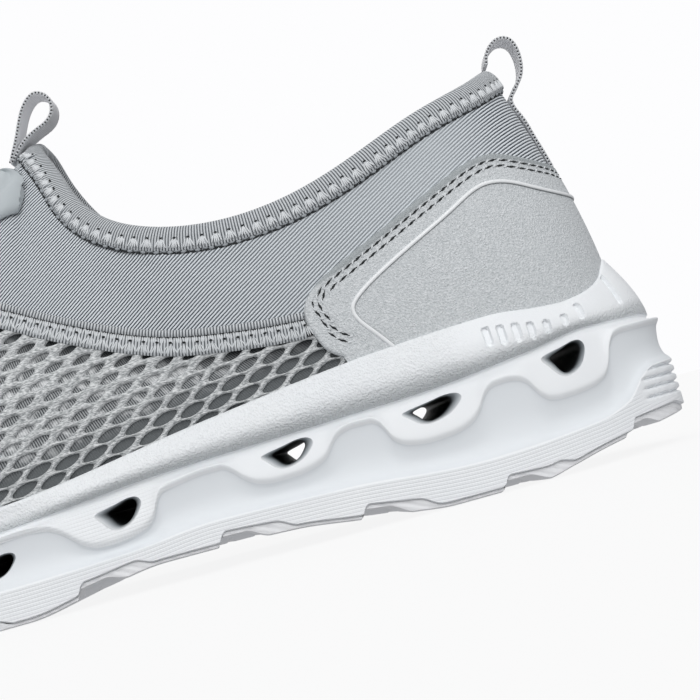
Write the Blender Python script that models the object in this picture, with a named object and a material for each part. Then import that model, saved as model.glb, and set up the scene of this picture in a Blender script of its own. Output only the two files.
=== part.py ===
"""A slip-on walking shoe for the left foot: moulded sole, hollow fabric upper and its trim.

Tables and sizes are millimetres and become metres where a mesh is made. A station is a place along the
shoe, counted forward from the heel. A run is a distance round the sole's outline, counted from the middle
of the heel on either side; a share is the same place as a part of that half outline. A rise is a place on
one section of the upper, from the sole (0) to the collar edge or the instep ridge (1).
"""

from math import pi

import bmesh
import bpy
import numpy as np

MM = 0.001
LATERAL, MEDIAL = 1, -1

HEEL_BACK = -1.4
TOE_FRONT = 291.4
TOE_SIDE = -9.0
MIDDLE = (HEEL_BACK + TOE_FRONT) / 2

WALL = 2.2
GAP = 0.35
THROAT = 0.5
REAR_COLUMNS, FRONT_COLUMNS = 34, 15
REAR_RUN = 190.0
COLLAR_COLUMNS, VAMP_COLUMNS, UPPER_ROWS = 20, 12, 9

OUTLINE = [  # station, lateral half width, medial half width
    (5, 19.0, 19.0), (17, 28.8, 28.8), (38, 35.4, 35.2), (70, 37.8, 36.2), (100, 39.0, 34.0),
    (130, 41.6, 34.2), (160, 46.0, 39.5), (185, 49.8, 46.0), (210, 51.2, 50.4), (235, 47.8, 51.2),
    (258, 39.5, 47.6), (277, 26.0, 37.5),
]
GROUND = [  # station, height of the tread: heel bevel, flat heel, arch, flat ball, toe spring
    (-2, 7.6), (14, 5.4), (26, 3.4), (34, 1.6), (42, 0), (64, 0), (74, 1.0), (86, 2.4), (102, 4.4),
    (118, 4.9), (133, 5.0), (151, 2.4), (166, 0), (206, 0), (225, 1.6), (250, 6.5), (275, 12.5), (292, 17),
]
SEAT = [  # station, height of the moulded seat that the upper and insole stand on
    (-2, 33), (34, 33), (63, 29.5), (100, 27.8), (140, 24.5), (170, 20.5), (200, 17.5), (225, 17.5),
    (255, 21), (292, 28),
]
RIM_TOP = [  # run, height
    (0, 49.8), (19, 46.4), (34, 40.4), (50, 40.2), (66, 41.0), (96, 39.8), (136, 34.9), (187, 27.5),
    (220, 25.8), (255, 27.0), (300, 33.0), (343, 38.5),
]
RIM_LOW = [  # run, height
    (0, 32.4), (20, 33.0), (40, 33.0), (58, 30.5), (85, 27.6), (100, 27.0), (152, 25.0), (178, 22.6),
    (200, 21.0), (240, 20.5), (300, 27.0), (343, 34.0),
]
RIM_BULGE = [(0, 0.2), (30, 0.8), (60, 2.2), (165, 2.0), (186, 0.2), (343, 0.2)]  # run, swell of the roll
BAND_TOP = [  # run, top of the ribbed band
    (0, 20.0), (22, 18.5), (33, 12.2), (46, 10.0), (74, 8.2), (110, 10.6), (140, 11.3), (160, 9.6),
    (190, 8.6), (230, 9.4), (280, 15.5), (343, 24.5),
]
WAVE_CREST = [  # run, highest line of the wave edge
    (0, 30.3), (30, 29.0), (62, 25.4), (100, 24.3), (140, 22.6), (180, 19.0), (230, 16.5), (290, 22.0),
    (343, 30.5),
]
WAVE_DIPS = [  # run of the middle, half length, depth
    (45.5, 15, 8.6), (82, 14, 8.6), (118.5, 13.5, 6.4), (160, 12.5, 8.1),
]
WINDOWS = [  # station, height, length, tallness of each tunnel through the sole
    (28.1, 26.5, 11.2, 7.0), (63.4, 23.3, 14.9, 4.6), (99.2, 22.2, 12.7, 5.2), (140.5, 18.9, 11.0, 5.4),
    (170.5, 14.2, 11.5, 4.8),
]
LUG_PITCH = 34.0
LUG_START = 18.0
LUG_SHARE = 0.75
CHEVRON = 8.0
LIP_LOW, LIP_STEP = 1.0, 2.2
LIP_WIDTH = 3.0
TREAD_SEAT = 5.0
TREAD_BASE = 2.3
RIBS = 3
RIB_DEPTH = 0.5
INSOLE_THICKNESS = 4.0

FEATHER = [  # run, inset of the upper from the sole's outline
    (0, 11.9), (20, 9.6), (40, 6.2), (60, 5.0), (150, 5.0), (220, 5.5), (300, 7.0), (343, 8.0),
]
COLLAR = [  # station, half width, height of the collar edge, from the heel to the throat
    (24.2, 0, 104.5), (32.0, 19.5, 98.2), (47.5, 26.5, 91.7), (64.4, 29.5, 85.9), (81.2, 31.0, 80.0),
    (99.3, 31.2, 77.2), (111.4, 30.6, 79.5), (120.3, 29.0, 84.4), (128.8, 25.8, 92.8), (137.0, 17.5, 107.4),
    (144.0, 0, 117.8),
]
RIDGE = [  # station, side shift, height of the instep ridge, from the throat to the toe
    (144, 0, 117.8), (155, 0, 109.2), (170, -0.6, 99.5), (190, -1.8, 88.5), (210, -3.4, 78.0),
    (230, -5.4, 68.0), (250, -7.8, 58.8), (264, -9.4, 52.8),
]
SECTIONS = [  # share, lean at the sole, low reach, forward, outward and down parts at the top, top reach
    (0.00, 0.03, 0.33, 0.00, 0.31, 0.95, 0.33),
    (0.15, 0.08, 0.33, 0.00, 0.26, 0.97, 0.33),
    (0.30, 0.15, 0.33, 0.02, 0.20, 0.98, 0.33),
    (0.38, 0.15, 0.34, 0.12, 0.32, 0.88, 0.31),
    (0.44, 0.14, 0.37, 0.34, 0.54, 0.50, 0.26),
    (0.50, 0.12, 0.41, 0.50, 0.76, 0.00, 0.21),
    (0.57, 0.11, 0.42, 0.30, 0.94, 0.00, 0.22),
    (0.66, 0.10, 0.42, 0.04, 1.00, 0.00, 0.28),
    (0.80, 0.10, 0.40, 0.00, 1.00, 0.00, 0.38),
    (1.00, 0.06, 0.42, 0.00, 1.00, 0.00, 0.46),
]
COLLAR_PACE = [(0, 0), (0.26, 0.19), (0.5, 0.43), (0.7, 0.68), (0.85, 0.88), (1, 1)]  # share, part of line
RIDGE_PACE = [(0, 0), (0.15, 0.09), (0.3, 0.31), (0.5, 0.60), (0.75, 0.86), (1, 1)]

COUNTER_EDGE = [  # station, height of the counter's upper edge on each side
    (20.0, 75.6), (27.0, 77.8), (34.0, 79.4), (47.0, 75.2), (59.0, 69.6), (69.0, 65.0), (77.0, 61.4),
    (81.5, 59.0), (84.5, 56.4), (86.3, 52.4),
]
COUNTER_BACK = 74.8
COUNTER_FRONT = [(80.0, 41.0), (83.0, 43.4), (85.0, 47.0), (86.3, 52.4)]  # station, height
COUNTER_THICK = 1.2
PIPING = [  # station, height of the raised line on the counter
    (69.6, 41.6), (72.8, 45.7), (75.3, 49.4), (75.4, 51.8), (73.3, 54.1), (67.4, 57.8), (55.2, 64.0),
    (45.0, 69.2), (38.0, 72.4), (33.0, 72.9), (26.0, 71.0),
]
PIPING_BACK = 68.0
PIPING_WIDTH, PIPING_TALL = 2.0, 0.9
SEAM = [  # station, height of the middle of the seam binding on each side
    (87.6, 50.6), (97.0, 51.2), (108.0, 52.6), (118.0, 54.4), (131.0, 58.6), (146.0, 65.6), (157.0, 71.6),
    (170.0, 78.0), (181.0, 83.2),
]
SEAM_FRONT = (193.0, -2.0, 86.9)  # station, side and height where it crosses the ridge
SEAM_PROFILE = [  # place down across the binding, thickness there: the rolled edge, then the stitched tape
    (-3.2, 1.6), (-1.6, 2.0), (-0.9, 0.9), (2.4, 0.9), (3.2, 0.5),
]
BINDING_DEPTH = 5.3
BINDING_THICK = 1.0
HEEL_TAPE = [  # station, height of the middle of the tape, from the collar round the loop
    (25.4, 107.2), (24.6, 109.0), (22.7, 110.9), (19.9, 112.1), (17.2, 111.5), (15.7, 109.0), (15.5, 105.6),
    (16.7, 101.6),
]
HEEL_TAPE_DOWN = (96.0, 91.0, 86.0, 81.0, 76.6)  # heights where it lies on the back seam
HEEL_TAPE_WIDTH = 9.0
THROAT_LOOP = [  # station, height of the middle of the loop's tape
    (150.7, 114.7), (148.8, 118.9), (146.2, 124.6), (143.6, 129.0), (140.3, 131.0), (137.7, 129.4),
    (137.0, 126.2), (138.5, 123.5), (141.8, 121.7), (145.8, 119.6), (148.7, 116.8),
]
THROAT_LOOP_WIDTH = 8.5
TAPE_THICK = 1.3
BADGE_STATIONS = (153.2, 184.0)
BADGE_SPAN = 15.5
BADGE_BOW = 6.5
BADGE_LIFT = 1.1
BADGE_THICK = 2.2

COLOURS = {  # base colour, roughness
    "midsole": ((0.86, 0.88, 0.90), 0.55),
    "outsole": ((0.62, 0.63, 0.64), 0.60),
    "insole": ((0.30, 0.32, 0.34), 0.90),
    "upper": ((0.36, 0.39, 0.42), 0.90),
    "heel_counter": ((0.52, 0.55, 0.57), 0.50),
    "counter_piping": ((0.56, 0.59, 0.61), 0.50),
    "collar_binding": ((0.42, 0.45, 0.48), 0.85),
    "seam_binding": ((0.46, 0.49, 0.51), 0.85),
    "heel_pull_tape": ((0.42, 0.44, 0.46), 0.85),
    "front_pull_loop": ((0.42, 0.44, 0.46), 0.85),
    "instep_badge": ((0.48, 0.52, 0.54), 0.45),
}


class Spline:
    """A smooth curve through points, each at its knot; closed when the last point is the first again."""

    def __init__(self, knots, points, closed=False):
        self.knots = np.asarray(knots, float)
        self.points = np.asarray(points, float)
        self.gaps = np.diff(self.knots)
        count = len(self.knots)
        system = np.zeros((count, count))
        right = np.zeros_like(self.points)
        slopes = np.diff(self.points, axis=0) / self.gaps[:, None]
        for i in range(1, count - 1):
            before, after = self.gaps[i - 1], self.gaps[i]
            system[i, i - 1:i + 2] = before, 2 * (before + after), after
            right[i] = 6 * (slopes[i] - slopes[i - 1])
        system[0, 0] = 1
        system[-1, -1] = 1
        if closed:
            system[0, 0] = 2 * (self.gaps[0] + self.gaps[-1])
            system[0, 1] = self.gaps[0]
            system[0, -2] = self.gaps[-1]
            right[0] = 6 * (slopes[0] - slopes[-1])
            system[-1, 0] = -1
        self.bends = np.linalg.solve(system, right)

    def __call__(self, places):
        places = np.atleast_1d(np.asarray(places, float))
        last = len(self.gaps) - 1
        i = np.clip(np.searchsorted(self.knots, places, side="right") - 1, 0, last)
        gap = self.gaps[i][:, None]
        ahead = (places - self.knots[i])[:, None]
        behind = gap - ahead
        curve = (self.bends[i] * behind ** 3 + self.bends[i + 1] * ahead ** 3) / (6 * gap)
        curve += (self.points[i] / gap - self.bends[i] * gap / 6) * behind
        curve += (self.points[i + 1] / gap - self.bends[i + 1] * gap / 6) * ahead
        return curve


def chord_knots(points):
    """Knots as far apart as the points."""
    steps = np.linalg.norm(np.diff(np.asarray(points, float), axis=0), axis=1)
    return np.concatenate([[0], np.cumsum(steps)])


def smooth_through(points, closed=False):
    """A spline through points with knots as far apart as the points, and its whole length in knots."""
    knots = chord_knots(points)
    return Spline(knots, points, closed), knots[-1]


def profile(rows, level_start=False, level_end=False):
    """A curve through (place, value) rows that never swings past them, level at an end if asked."""
    places, values = np.array(rows, float).T
    steps = np.diff(places)
    slopes = np.diff(values) / steps
    tangents = np.zeros_like(values)
    tangents[0] = 0 if level_start else slopes[0]
    tangents[-1] = 0 if level_end else slopes[-1]
    for i in range(1, len(values) - 1):
        if slopes[i - 1] * slopes[i] > 0:
            tangents[i] = 2 * slopes[i - 1] * slopes[i] / (slopes[i - 1] + slopes[i])

    def at(place):
        place = np.clip(place, places[0], places[-1])
        i = np.clip(np.searchsorted(places, place, side="right") - 1, 0, len(steps) - 1)
        u = (place - places[i]) / steps[i]
        value = values[i] * (1 + 2 * u) * (1 - u) ** 2 + values[i + 1] * u ** 2 * (3 - 2 * u)
        return value + steps[i] * u * (1 - u) * (tangents[i] * (1 - u) - tangents[i + 1] * u)

    return at


def smoothstep(low, high, place):
    """An eased ramp from 0 at low to 1 at high."""
    u = np.clip((place - low) / (high - low), 0, 1)
    return u * u * (3 - 2 * u)


ground_at = profile(GROUND)
seat_at = profile(SEAT)
rim_top_at = profile(RIM_TOP, level_start=True, level_end=True)
rim_low_at = profile(RIM_LOW, level_start=True, level_end=True)
rim_bulge_at = profile(RIM_BULGE, level_start=True, level_end=True)
band_top_at = profile(BAND_TOP, level_start=True, level_end=True)
wave_crest_at = profile(WAVE_CREST, level_start=True, level_end=True)
feather_at = profile(FEATHER, level_start=True, level_end=True)
collar_pace = profile(COLLAR_PACE, level_end=True)
ridge_pace = profile(RIDGE_PACE, level_start=True)
section_at = Spline([row[0] for row in SECTIONS], [row[1:] for row in SECTIONS])


def half_outlines(samples=1200):
    """Points, outward normals and runs of the sole's outline, as a dense table for each side."""
    lateral = [(station, wide) for station, wide, _ in OUTLINE]
    medial = [(station, -wide) for station, _, wide in reversed(OUTLINE)]
    loop = [(HEEL_BACK, 0), *lateral, (TOE_FRONT, TOE_SIDE), *medial, (HEEL_BACK, 0)]
    curve, length = smooth_through(loop, closed=True)
    toe = chord_knots(loop)[len(lateral) + 1]
    halves = {}
    for side, end in ((LATERAL, 0.0), (MEDIAL, length)):
        knots = np.linspace(end, toe, samples)
        points = curve(knots)
        ahead = curve(np.mod(knots + 0.01, length)) - curve(np.mod(knots - 0.01, length))
        ahead /= np.linalg.norm(ahead, axis=1)[:, None]
        normals = np.stack([-ahead[:, 1], ahead[:, 0]], axis=1)
        runs = chord_knots(points)
        halves[side] = (points, normals, runs)
    return halves


HALVES = half_outlines()
HALF_RUN = HALVES[LATERAL][2][-1]


def outline_at(side, share):
    """Point, outward normal and run of the outline at a share of one half; both sides count one run."""
    points, normals, runs = HALVES[side]
    place = share * runs[-1]
    point = np.array([np.interp(place, runs, points[:, axis]) for axis in (0, 1)])
    normal = np.array([np.interp(place, runs, normals[:, axis]) for axis in (0, 1)])
    return point, normal / np.linalg.norm(normal), share * HALF_RUN


def collar_and_ridge():
    """The two lines that end the upper's sections."""
    lateral = [(station, wide, height) for station, wide, height in COLLAR]
    medial = [(station, -wide, height) for station, wide, height in reversed(COLLAR[:-1])]
    collar, whole = smooth_through(lateral + medial, closed=True)
    return collar, whole / 2, *smooth_through(RIDGE)


COLLAR_LINE, COLLAR_LENGTH, RIDGE_LINE, RIDGE_LENGTH = collar_and_ridge()


def top_at(side, share):
    """End of one section: a point of the collar edge, or of the instep ridge in front of the throat."""
    if share <= THROAT:
        point = COLLAR_LINE(COLLAR_LENGTH * collar_pace(share / THROAT))[0]
        slope = 0.8 * smoothstep(THROAT - 0.14, THROAT, share)
        return point * (1, side, 1), slope
    place = RIDGE_LENGTH * ridge_pace((share - THROAT) / (1 - THROAT))
    before, after = RIDGE_LINE([max(place - 0.5, 0), min(place + 0.5, RIDGE_LENGTH)])
    return RIDGE_LINE(place)[0], (before[2] - after[2]) / (after[0] - before[0])


def section_handles(side, share):
    """The four points of the curve that one section of the upper follows."""
    point, normal, run = outline_at(side, share)
    low = np.append(point - normal * feather_at(run), 0.0)
    low[2] = seat_at(low[0]) + GAP
    top, slope = top_at(side, share)
    lean, low_reach, forward, outward, down, top_reach = section_at(share)[0]
    length = np.linalg.norm(top - low)
    rising = np.array([normal[0] * lean, normal[1] * lean, 1.0])
    along = outward * normal[0] + forward
    leaving = np.array([along, outward * normal[1], -slope * along - down])
    rising /= np.linalg.norm(rising)
    leaving /= np.linalg.norm(leaving)
    return low, low + rising * low_reach * length, top + leaving * top_reach * length, top


def upper_point(side, share, rise):
    """Points of the upper's outer face on one section, for an array of rises."""
    a, b, c, d = section_handles(side, share)
    u = np.atleast_1d(np.asarray(rise, float))[:, None]
    return a * (1 - u) ** 3 + b * 3 * u * (1 - u) ** 2 + c * 3 * u ** 2 * (1 - u) + d * u ** 3


def upper_frame(side, share, rise, step=1e-3):
    """One point of the upper's outer face and the outward normal there."""
    before, after = max(share - step, 0.0), min(share + step, 1.0)
    if share <= THROAT < after:
        after = share
    lower, higher = max(rise - step, 0.0), min(rise + step, 1.0)
    point = upper_point(side, share, rise)[0]
    along = upper_point(side, after, rise)[0] - upper_point(side, before, rise)[0]
    up = upper_point(side, share, higher)[0] - upper_point(side, share, lower)[0]
    normal = np.cross(up, along) * side
    return point, normal / np.linalg.norm(normal)


def rise_at_height(side, share, height):
    """The rise at which one section reaches a height."""
    rises = np.linspace(0, 1, 81)
    return float(np.interp(height, upper_point(side, share, rises)[:, 2], rises))


def find_on_upper(side, target, axes=(0, 2)):
    """Share and rise of the place on one side of the upper nearest to the given coordinates."""
    axes = list(axes)
    target = np.asarray(target, float)
    shares, rises = np.linspace(0, 1, 61), np.linspace(0, 1, 31)
    misses = [np.linalg.norm(upper_point(side, share, rises)[:, axes] - target, axis=1) for share in shares]
    best = np.unravel_index(np.argmin(misses), (61, 31))
    place = np.array([shares[best[0]], rises[best[1]]])
    for _ in range(12):
        here = upper_point(side, *place)[0][axes]
        slopes = []
        for step in ((1e-4, 0), (0, 1e-4)):
            shifted = np.where(place + step > 1, place - step, place + step)
            change = upper_point(side, *shifted)[0][axes] - here
            slopes.append(change / np.sum(shifted - place))
        move = np.linalg.lstsq(np.array(slopes).T, target - here, rcond=None)[0]
        place = np.clip(place + np.clip(move, -0.03, 0.03), 0, 1)
    return tuple(place)


def world(points):
    """Metres in the shoe's frame, centred on its length."""
    return (np.asarray(points, float) - (MIDDLE, 0, 0)) * MM


def mesh_object(name, mesh_parts, joined=1e-7, short_diagonals=False):
    """One closed object from grids of points, welded where their edges coincide."""
    bm = bmesh.new()
    for grid in mesh_parts:
        points = world(grid)
        verts = [[bm.verts.new(point) for point in line] for line in points]
        for here, there in zip(verts, verts[1:]):
            for i in range(len(here) - 1):
                bm.faces.new((here[i], there[i], there[i + 1], here[i + 1]))
    bmesh.ops.remove_doubles(bm, verts=bm.verts, dist=joined)
    bmesh.ops.dissolve_degenerate(bm, edges=bm.edges, dist=joined)
    if short_diagonals:
        bmesh.ops.triangulate(bm, faces=bm.faces, quad_method="SHORT_EDGE")
    bmesh.ops.recalc_face_normals(bm, faces=bm.faces)
    mesh = bpy.data.meshes.new(name)
    bm.to_mesh(mesh)
    bm.free()
    part = bpy.data.objects.new(name, mesh)
    bpy.context.scene.collection.objects.link(part)
    return part


def finish(part):
    """The object's own material, then its modifiers applied."""
    colour, roughness = COLOURS[part.name]
    material = bpy.data.materials.new(part.name + "_material")
    material.use_nodes = True
    shader = material.node_tree.nodes["Principled BSDF"]
    shader.inputs["Base Color"].default_value = (*colour, 1)
    shader.inputs["Roughness"].default_value = roughness
    part.data.materials.append(material)
    solid = bpy.data.meshes.new_from_object(part.evaluated_get(bpy.context.evaluated_depsgraph_get()))
    part.modifiers.clear()
    part.data = solid
    solid.name = part.name


def ladder(left, right, across, height_at, lift=0.0, chevron=0.0):
    """A grid that spans from one line of points to another, each point at a height of its station.

    A chevron draws the middle of every cross line back toward the heel, less where the sole is narrow.
    """
    left, right = np.asarray(left), np.asarray(right)
    across = np.asarray(across)
    grid = left[:, None] + (right - left)[:, None] * across[None, :, None]
    width = np.linalg.norm(right - left, axis=1)
    grid[..., 0] -= chevron * smoothstep(20, 60, width)[:, None] * (1 - abs(2 * across - 1))[None]
    grid[..., 2] = height_at(grid[..., 0]) + lift
    return grid


def walled_patch(name, points, normals, low, high):
    """A closed sheet that follows a grid of places on the upper, between two lifts from its face."""
    points, normals = np.asarray(points), np.asarray(normals)
    under = points + normals * np.asarray(low)[..., None]
    over = points + normals * np.asarray(high)[..., None]
    walls = [np.stack([under[0], over[0]]), np.stack([under[-1], over[-1]]),
             np.stack([under[:, 0], over[:, 0]]), np.stack([under[:, -1], over[:, -1]])]
    return mesh_object(name, [under, over, *walls])


def swept(name, sections, closed):
    """A closed solid through a list of equal rings of points, capped at both ends when it isn't closed."""
    rings = [np.vstack([ring, ring[:1]]) for ring in np.asarray(sections)]
    if closed:
        return mesh_object(name, [rings + rings[:1]])
    caps = []
    for ring in (sections[0], sections[-1]):
        half = len(ring) // 2
        caps.append(np.stack([ring[:half], ring[:half - 1:-1]]))
    return mesh_object(name, [rings, *caps])


def lip_height(station):
    """Height of the side's lower edge over the tread line: a notch behind every lug."""
    return LIP_LOW + LIP_STEP * np.mod((station - LUG_START) / LUG_PITCH, 1.0)


def wave_height(run):
    """Height of the wave edge on the side of the sole."""
    height = wave_crest_at(run)
    for middle, half, depth in WAVE_DIPS:
        height -= depth * smoothstep(1.0, 0.45, abs(run - middle) / half)
    return height


def sole_column(side, share):
    """One column of the midsole, from the tread seat's edge round the side to the upper's seat."""
    point, normal, run = outline_at(side, share)
    rim_top, rim_low = rim_top_at(run), rim_low_at(run)
    rise = rise_at_height(side, share, rim_top)
    inner = upper_point(side, share, rise)[0]
    foot = upper_point(side, share, 0.0)[0]
    toe = smoothstep(230, 320, run)
    top_inset = (point - inner[:2]) @ normal - GAP - 0.4 * toe
    foot_inset = (point - foot[:2]) @ normal - GAP - 1.1 * toe
    lip = ground_at(point[0]) + lip_height(point[0])
    band_top = max(band_top_at(run), lip + 2.0)
    wave = max(wave_height(run), band_top + 2.5)
    rows = [(LIP_WIDTH, ground_at(point[0] - normal[0] * LIP_WIDTH) + TREAD_SEAT),
            (LIP_WIDTH, lip), (0.8, lip)]
    for rib in range(RIBS):
        low = lip + 0.3 + (band_top - lip - 0.3) * rib / RIBS
        high = lip + 0.3 + (band_top - lip - 0.3) * (rib + 1) / RIBS
        rows += [(0.0, low + 0.25 * (high - low)), (RIB_DEPTH, low + 0.75 * (high - low))]
    rows += [(0.2, band_top), (1.6, band_top + 0.18 * (wave - band_top)),
             (2.5, band_top + 0.6 * (wave - band_top)), (2.6, wave - 0.3), (0.9, wave + 0.5),
             (2.2, rim_low - 0.4)]
    outer = top_inset - 1.9
    for part in (0.0, 0.15, 0.4, 0.7):
        swell = rim_bulge_at(run) * np.sin(pi * part ** 0.75)
        inset = 2.4 + (outer - 2.4) * part ** 1.5 - swell
        rows.append((inset, rim_low + part * (rim_top - 0.7 - rim_low)))
    rows += [(outer, rim_top - 0.7), (top_inset, rim_top)]
    column = [np.append(point - normal * inset, height) for inset, height in rows]
    seat = point - normal * foot_inset
    column.append(np.append(seat, seat_at(seat[0])))
    return column


def window_cutter(station, height, length, tall):
    """A tunnel right through the sole, flat above and round below, that widens at each side."""
    angles = np.linspace(0, 2 * pi, 12, endpoint=False)
    along = 0.5 * length * np.cos(angles)
    up = np.where(np.sin(angles) > 0, np.abs(np.sin(angles)) ** 0.45, np.sin(angles)) * 0.5 * tall
    sides = []
    for side in (LATERAL, MEDIAL):
        points = HALVES[side][0]
        sides.append(np.interp(station, points[:, 0], points[:, 1]))
    lateral, medial = sides
    rings = []
    for place, grow in ((lateral + 4, 1.45), (lateral - 4, 1.0), (medial + 4, 1.0), (medial - 4, 1.45)):
        ring = np.stack([station + along * grow, np.full(12, place), height + up * grow], axis=1)
        rings.append(ring)
    cutter = swept("window_cutter", rings, closed=False)
    cutter.hide_render = True
    cutter.display_type = "WIRE"
    return cutter


def build_midsole():
    split = REAR_RUN / HALF_RUN
    rear, front = np.linspace(0, split, REAR_COLUMNS + 1), np.linspace(split, 1, FRONT_COLUMNS + 1)
    shares = np.concatenate([rear, front[1:]])
    sides = {side: np.array([sole_column(side, share) for share in shares]) for side in (LATERAL, MEDIAL)}
    across = np.linspace(0, 1, 5)
    seat = ladder(sides[LATERAL][:, -1], sides[MEDIAL][:, -1], across, seat_at)
    tread = ladder(sides[LATERAL][:, 0], sides[MEDIAL][:, 0], across, ground_at, TREAD_SEAT)
    midsole = mesh_object("midsole", [sides[LATERAL], sides[MEDIAL], seat, tread])
    cutters = [window_cutter(*row) for row in WINDOWS]
    for cutter in cutters:
        cut = midsole.modifiers.new("window", "BOOLEAN")
        cut.operation = "DIFFERENCE"
        cut.solver = "EXACT"
        cut.object = cutter
    finish(midsole)
    for cutter in cutters:
        bpy.data.objects.remove(cutter)


def is_lug(run, cross):
    """Whether a cell of the tread stands out as a lug: two edge rows, and a middle row half a step off."""
    if cross in (1, 3):
        return False
    shift = 0.5 if cross == 2 else 0.0
    return np.mod((run - 18.5 - LUG_START) / LUG_PITCH + shift, 1.0) < LUG_SHARE


def build_outsole():
    shares = np.linspace(0, 1, 42)
    inset = LIP_WIDTH + GAP
    across = np.array([0, 0.24, 0.31, 0.69, 0.76, 1])
    edges = {}
    for side in (LATERAL, MEDIAL):
        line = []
        for share in shares:
            point, normal, run = outline_at(side, share)
            line.append(np.append(point - normal * inset, 0.0))
        edges[side] = np.array(line)
    over = ladder(edges[LATERAL], edges[MEDIAL], across, ground_at, TREAD_SEAT - 2 * GAP, CHEVRON)
    under = ladder(edges[LATERAL], edges[MEDIAL], across, ground_at, TREAD_BASE, CHEVRON)
    walls = [np.stack([over[:, end], under[:, end]]) for end in (0, -1)]
    runs = (shares[:-1] + shares[1:]) / 2 * HALF_RUN
    lugs = []
    for k in range(1, len(runs) - 1):
        for cross in range(len(across) - 1):
            if is_lug(runs[k], cross):
                lugs.append(tuple(np.mean(world(under[k:k + 2, cross:cross + 2]).reshape(4, 3), axis=0)))
    outsole = mesh_object("outsole", [over, under, *walls])
    bm = bmesh.new()
    bm.from_mesh(outsole.data)
    faces = []
    for face in bm.faces:
        centre = np.array(face.calc_center_median())
        if min(np.linalg.norm(np.array(lugs) - centre, axis=1)) < 1e-5:
            faces.append(face)
    grown = bmesh.ops.extrude_face_region(bm, geom=faces)["geom"]
    for vert in (item for item in grown if isinstance(item, bmesh.types.BMVert)):
        vert.co.z = ground_at(vert.co.x / MM + MIDDLE) * MM
    bmesh.ops.delete(bm, geom=faces, context="FACES")
    bmesh.ops.recalc_face_normals(bm, faces=bm.faces)
    bm.to_mesh(outsole.data)
    bm.free()
    finish(outsole)


def upper_shares():
    """Shares of the upper's columns: close together round the collar, wider along the vamp."""
    vamp = np.linspace(THROAT, 1, VAMP_COLUMNS + 1)
    return np.concatenate([np.linspace(0, THROAT, COLLAR_COLUMNS + 1), vamp[1:]])


def build_insole():
    shares = np.linspace(0, 1, 25)
    edges = {}
    for side in (LATERAL, MEDIAL):
        line = []
        for share in shares:
            point, normal, run = outline_at(side, share)
            line.append(np.append(point - normal * (feather_at(run) + WALL + 0.6), 0.0))
        edges[side] = np.array(line)
    across = np.linspace(0, 1, 5)
    under = ladder(edges[LATERAL], edges[MEDIAL], across, seat_at, GAP)
    over = ladder(edges[LATERAL], edges[MEDIAL], across, seat_at, GAP + INSOLE_THICKNESS)
    over[1:-1, 1:-1, 2] -= 1.0
    walls = [np.stack([under[:, end], over[:, end]]) for end in (0, -1)]
    finish(mesh_object("insole", [under, over, *walls]))


def build_upper():
    rises = np.linspace(0, 1, UPPER_ROWS + 1)
    sides = []
    for side in (LATERAL, MEDIAL):
        sides.append(np.array([upper_point(side, share, rises) for share in upper_shares()]))
    upper = mesh_object("upper", sides, short_diagonals=True)
    wall = upper.modifiers.new("wall", "SOLIDIFY")
    wall.thickness = WALL * MM
    wall.offset = -1.0
    wall.use_even_offset = True
    finish(upper)


def edge_of_counter(side, station_rows, back, columns):
    """Rises of a counter line for the given shares, from (station, height) rows of one side."""
    places = [find_on_upper(side, row) for row in station_rows]
    rows = [(0.0, rise_at_height(side, 0.0, back)), *sorted(places)]
    return profile(rows)(columns)


def build_heel_counter():
    points, normals = [], []
    for side in (LATERAL, MEDIAL):
        tip = find_on_upper(side, COUNTER_EDGE[-1])[0]
        foot = find_on_upper(side, COUNTER_FRONT[0])[0]
        shares = np.concatenate([np.linspace(0, foot, 13), np.linspace(foot, tip, 5)[1:]])
        upper_edge = edge_of_counter(side, COUNTER_EDGE, COUNTER_BACK, shares)
        front = profile(sorted(find_on_upper(side, row) for row in COUNTER_FRONT))
        run = shares * HALF_RUN
        columns = []
        for k, share in enumerate(shares):
            low = rise_at_height(side, share, rim_top_at(run[k]) + 0.4)
            if share > foot:
                low = max(low, float(front(share)))
            rises = np.linspace(min(low, upper_edge[k]), upper_edge[k], 5)
            columns.append([upper_frame(side, share, rise) for rise in rises])
        columns = columns[::-1] if side == LATERAL else columns[1:]
        points += [[place for place, _ in column] for column in columns]
        normals += [[normal for _, normal in column] for column in columns]
    shape = np.asarray(points).shape[:2]
    low = np.full(shape, GAP)
    high = np.full(shape, GAP + COUNTER_THICK)
    high[:, -1] = GAP + 0.5 * COUNTER_THICK
    finish(walled_patch("heel_counter", points, normals, low, high))


def strip_on_upper(name, frames, profile_rows, lift):
    """A strip along a path of (point, normal) frames on the upper, with a thickness profile across it."""
    places = np.array([place for place, _ in frames])
    ahead = np.gradient(places, axis=0)
    ahead /= np.linalg.norm(ahead, axis=1)[:, None]
    points, normals, high = [], [], []
    for (place, normal), along in zip(frames, ahead):
        across = np.cross(normal, along)
        across /= np.linalg.norm(across)
        points.append([place + across * offset for offset, _ in profile_rows])
        normals.append([normal for _ in profile_rows])
        high.append([lift + thick for _, thick in profile_rows])
    return walled_patch(name, points, normals, np.full(np.shape(high), lift), high)


def build_counter_piping():
    lateral = [find_on_upper(LATERAL, row) for row in PIPING]
    medial = [find_on_upper(MEDIAL, row) for row in PIPING]
    rows = [(share, rise) for share, rise in lateral]
    rows += [(0.0, rise_at_height(LATERAL, 0.0, PIPING_BACK))]
    rows += [(-share, rise) for share, rise in reversed(medial)]
    scaled = np.array(rows) * (345, 75)
    path, length = smooth_through(scaled)
    frames = []
    for share, rise in path(np.linspace(0, length, 41)) / (345, 75):
        frames.append(upper_frame(LATERAL if share >= 0 else MEDIAL, abs(share), rise))
    half = PIPING_WIDTH / 2
    rows = [(-half, 0.3), (0.0, PIPING_TALL), (half, 0.3)]
    finish(strip_on_upper("counter_piping", frames, rows, GAP + COUNTER_THICK + GAP))


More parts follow.
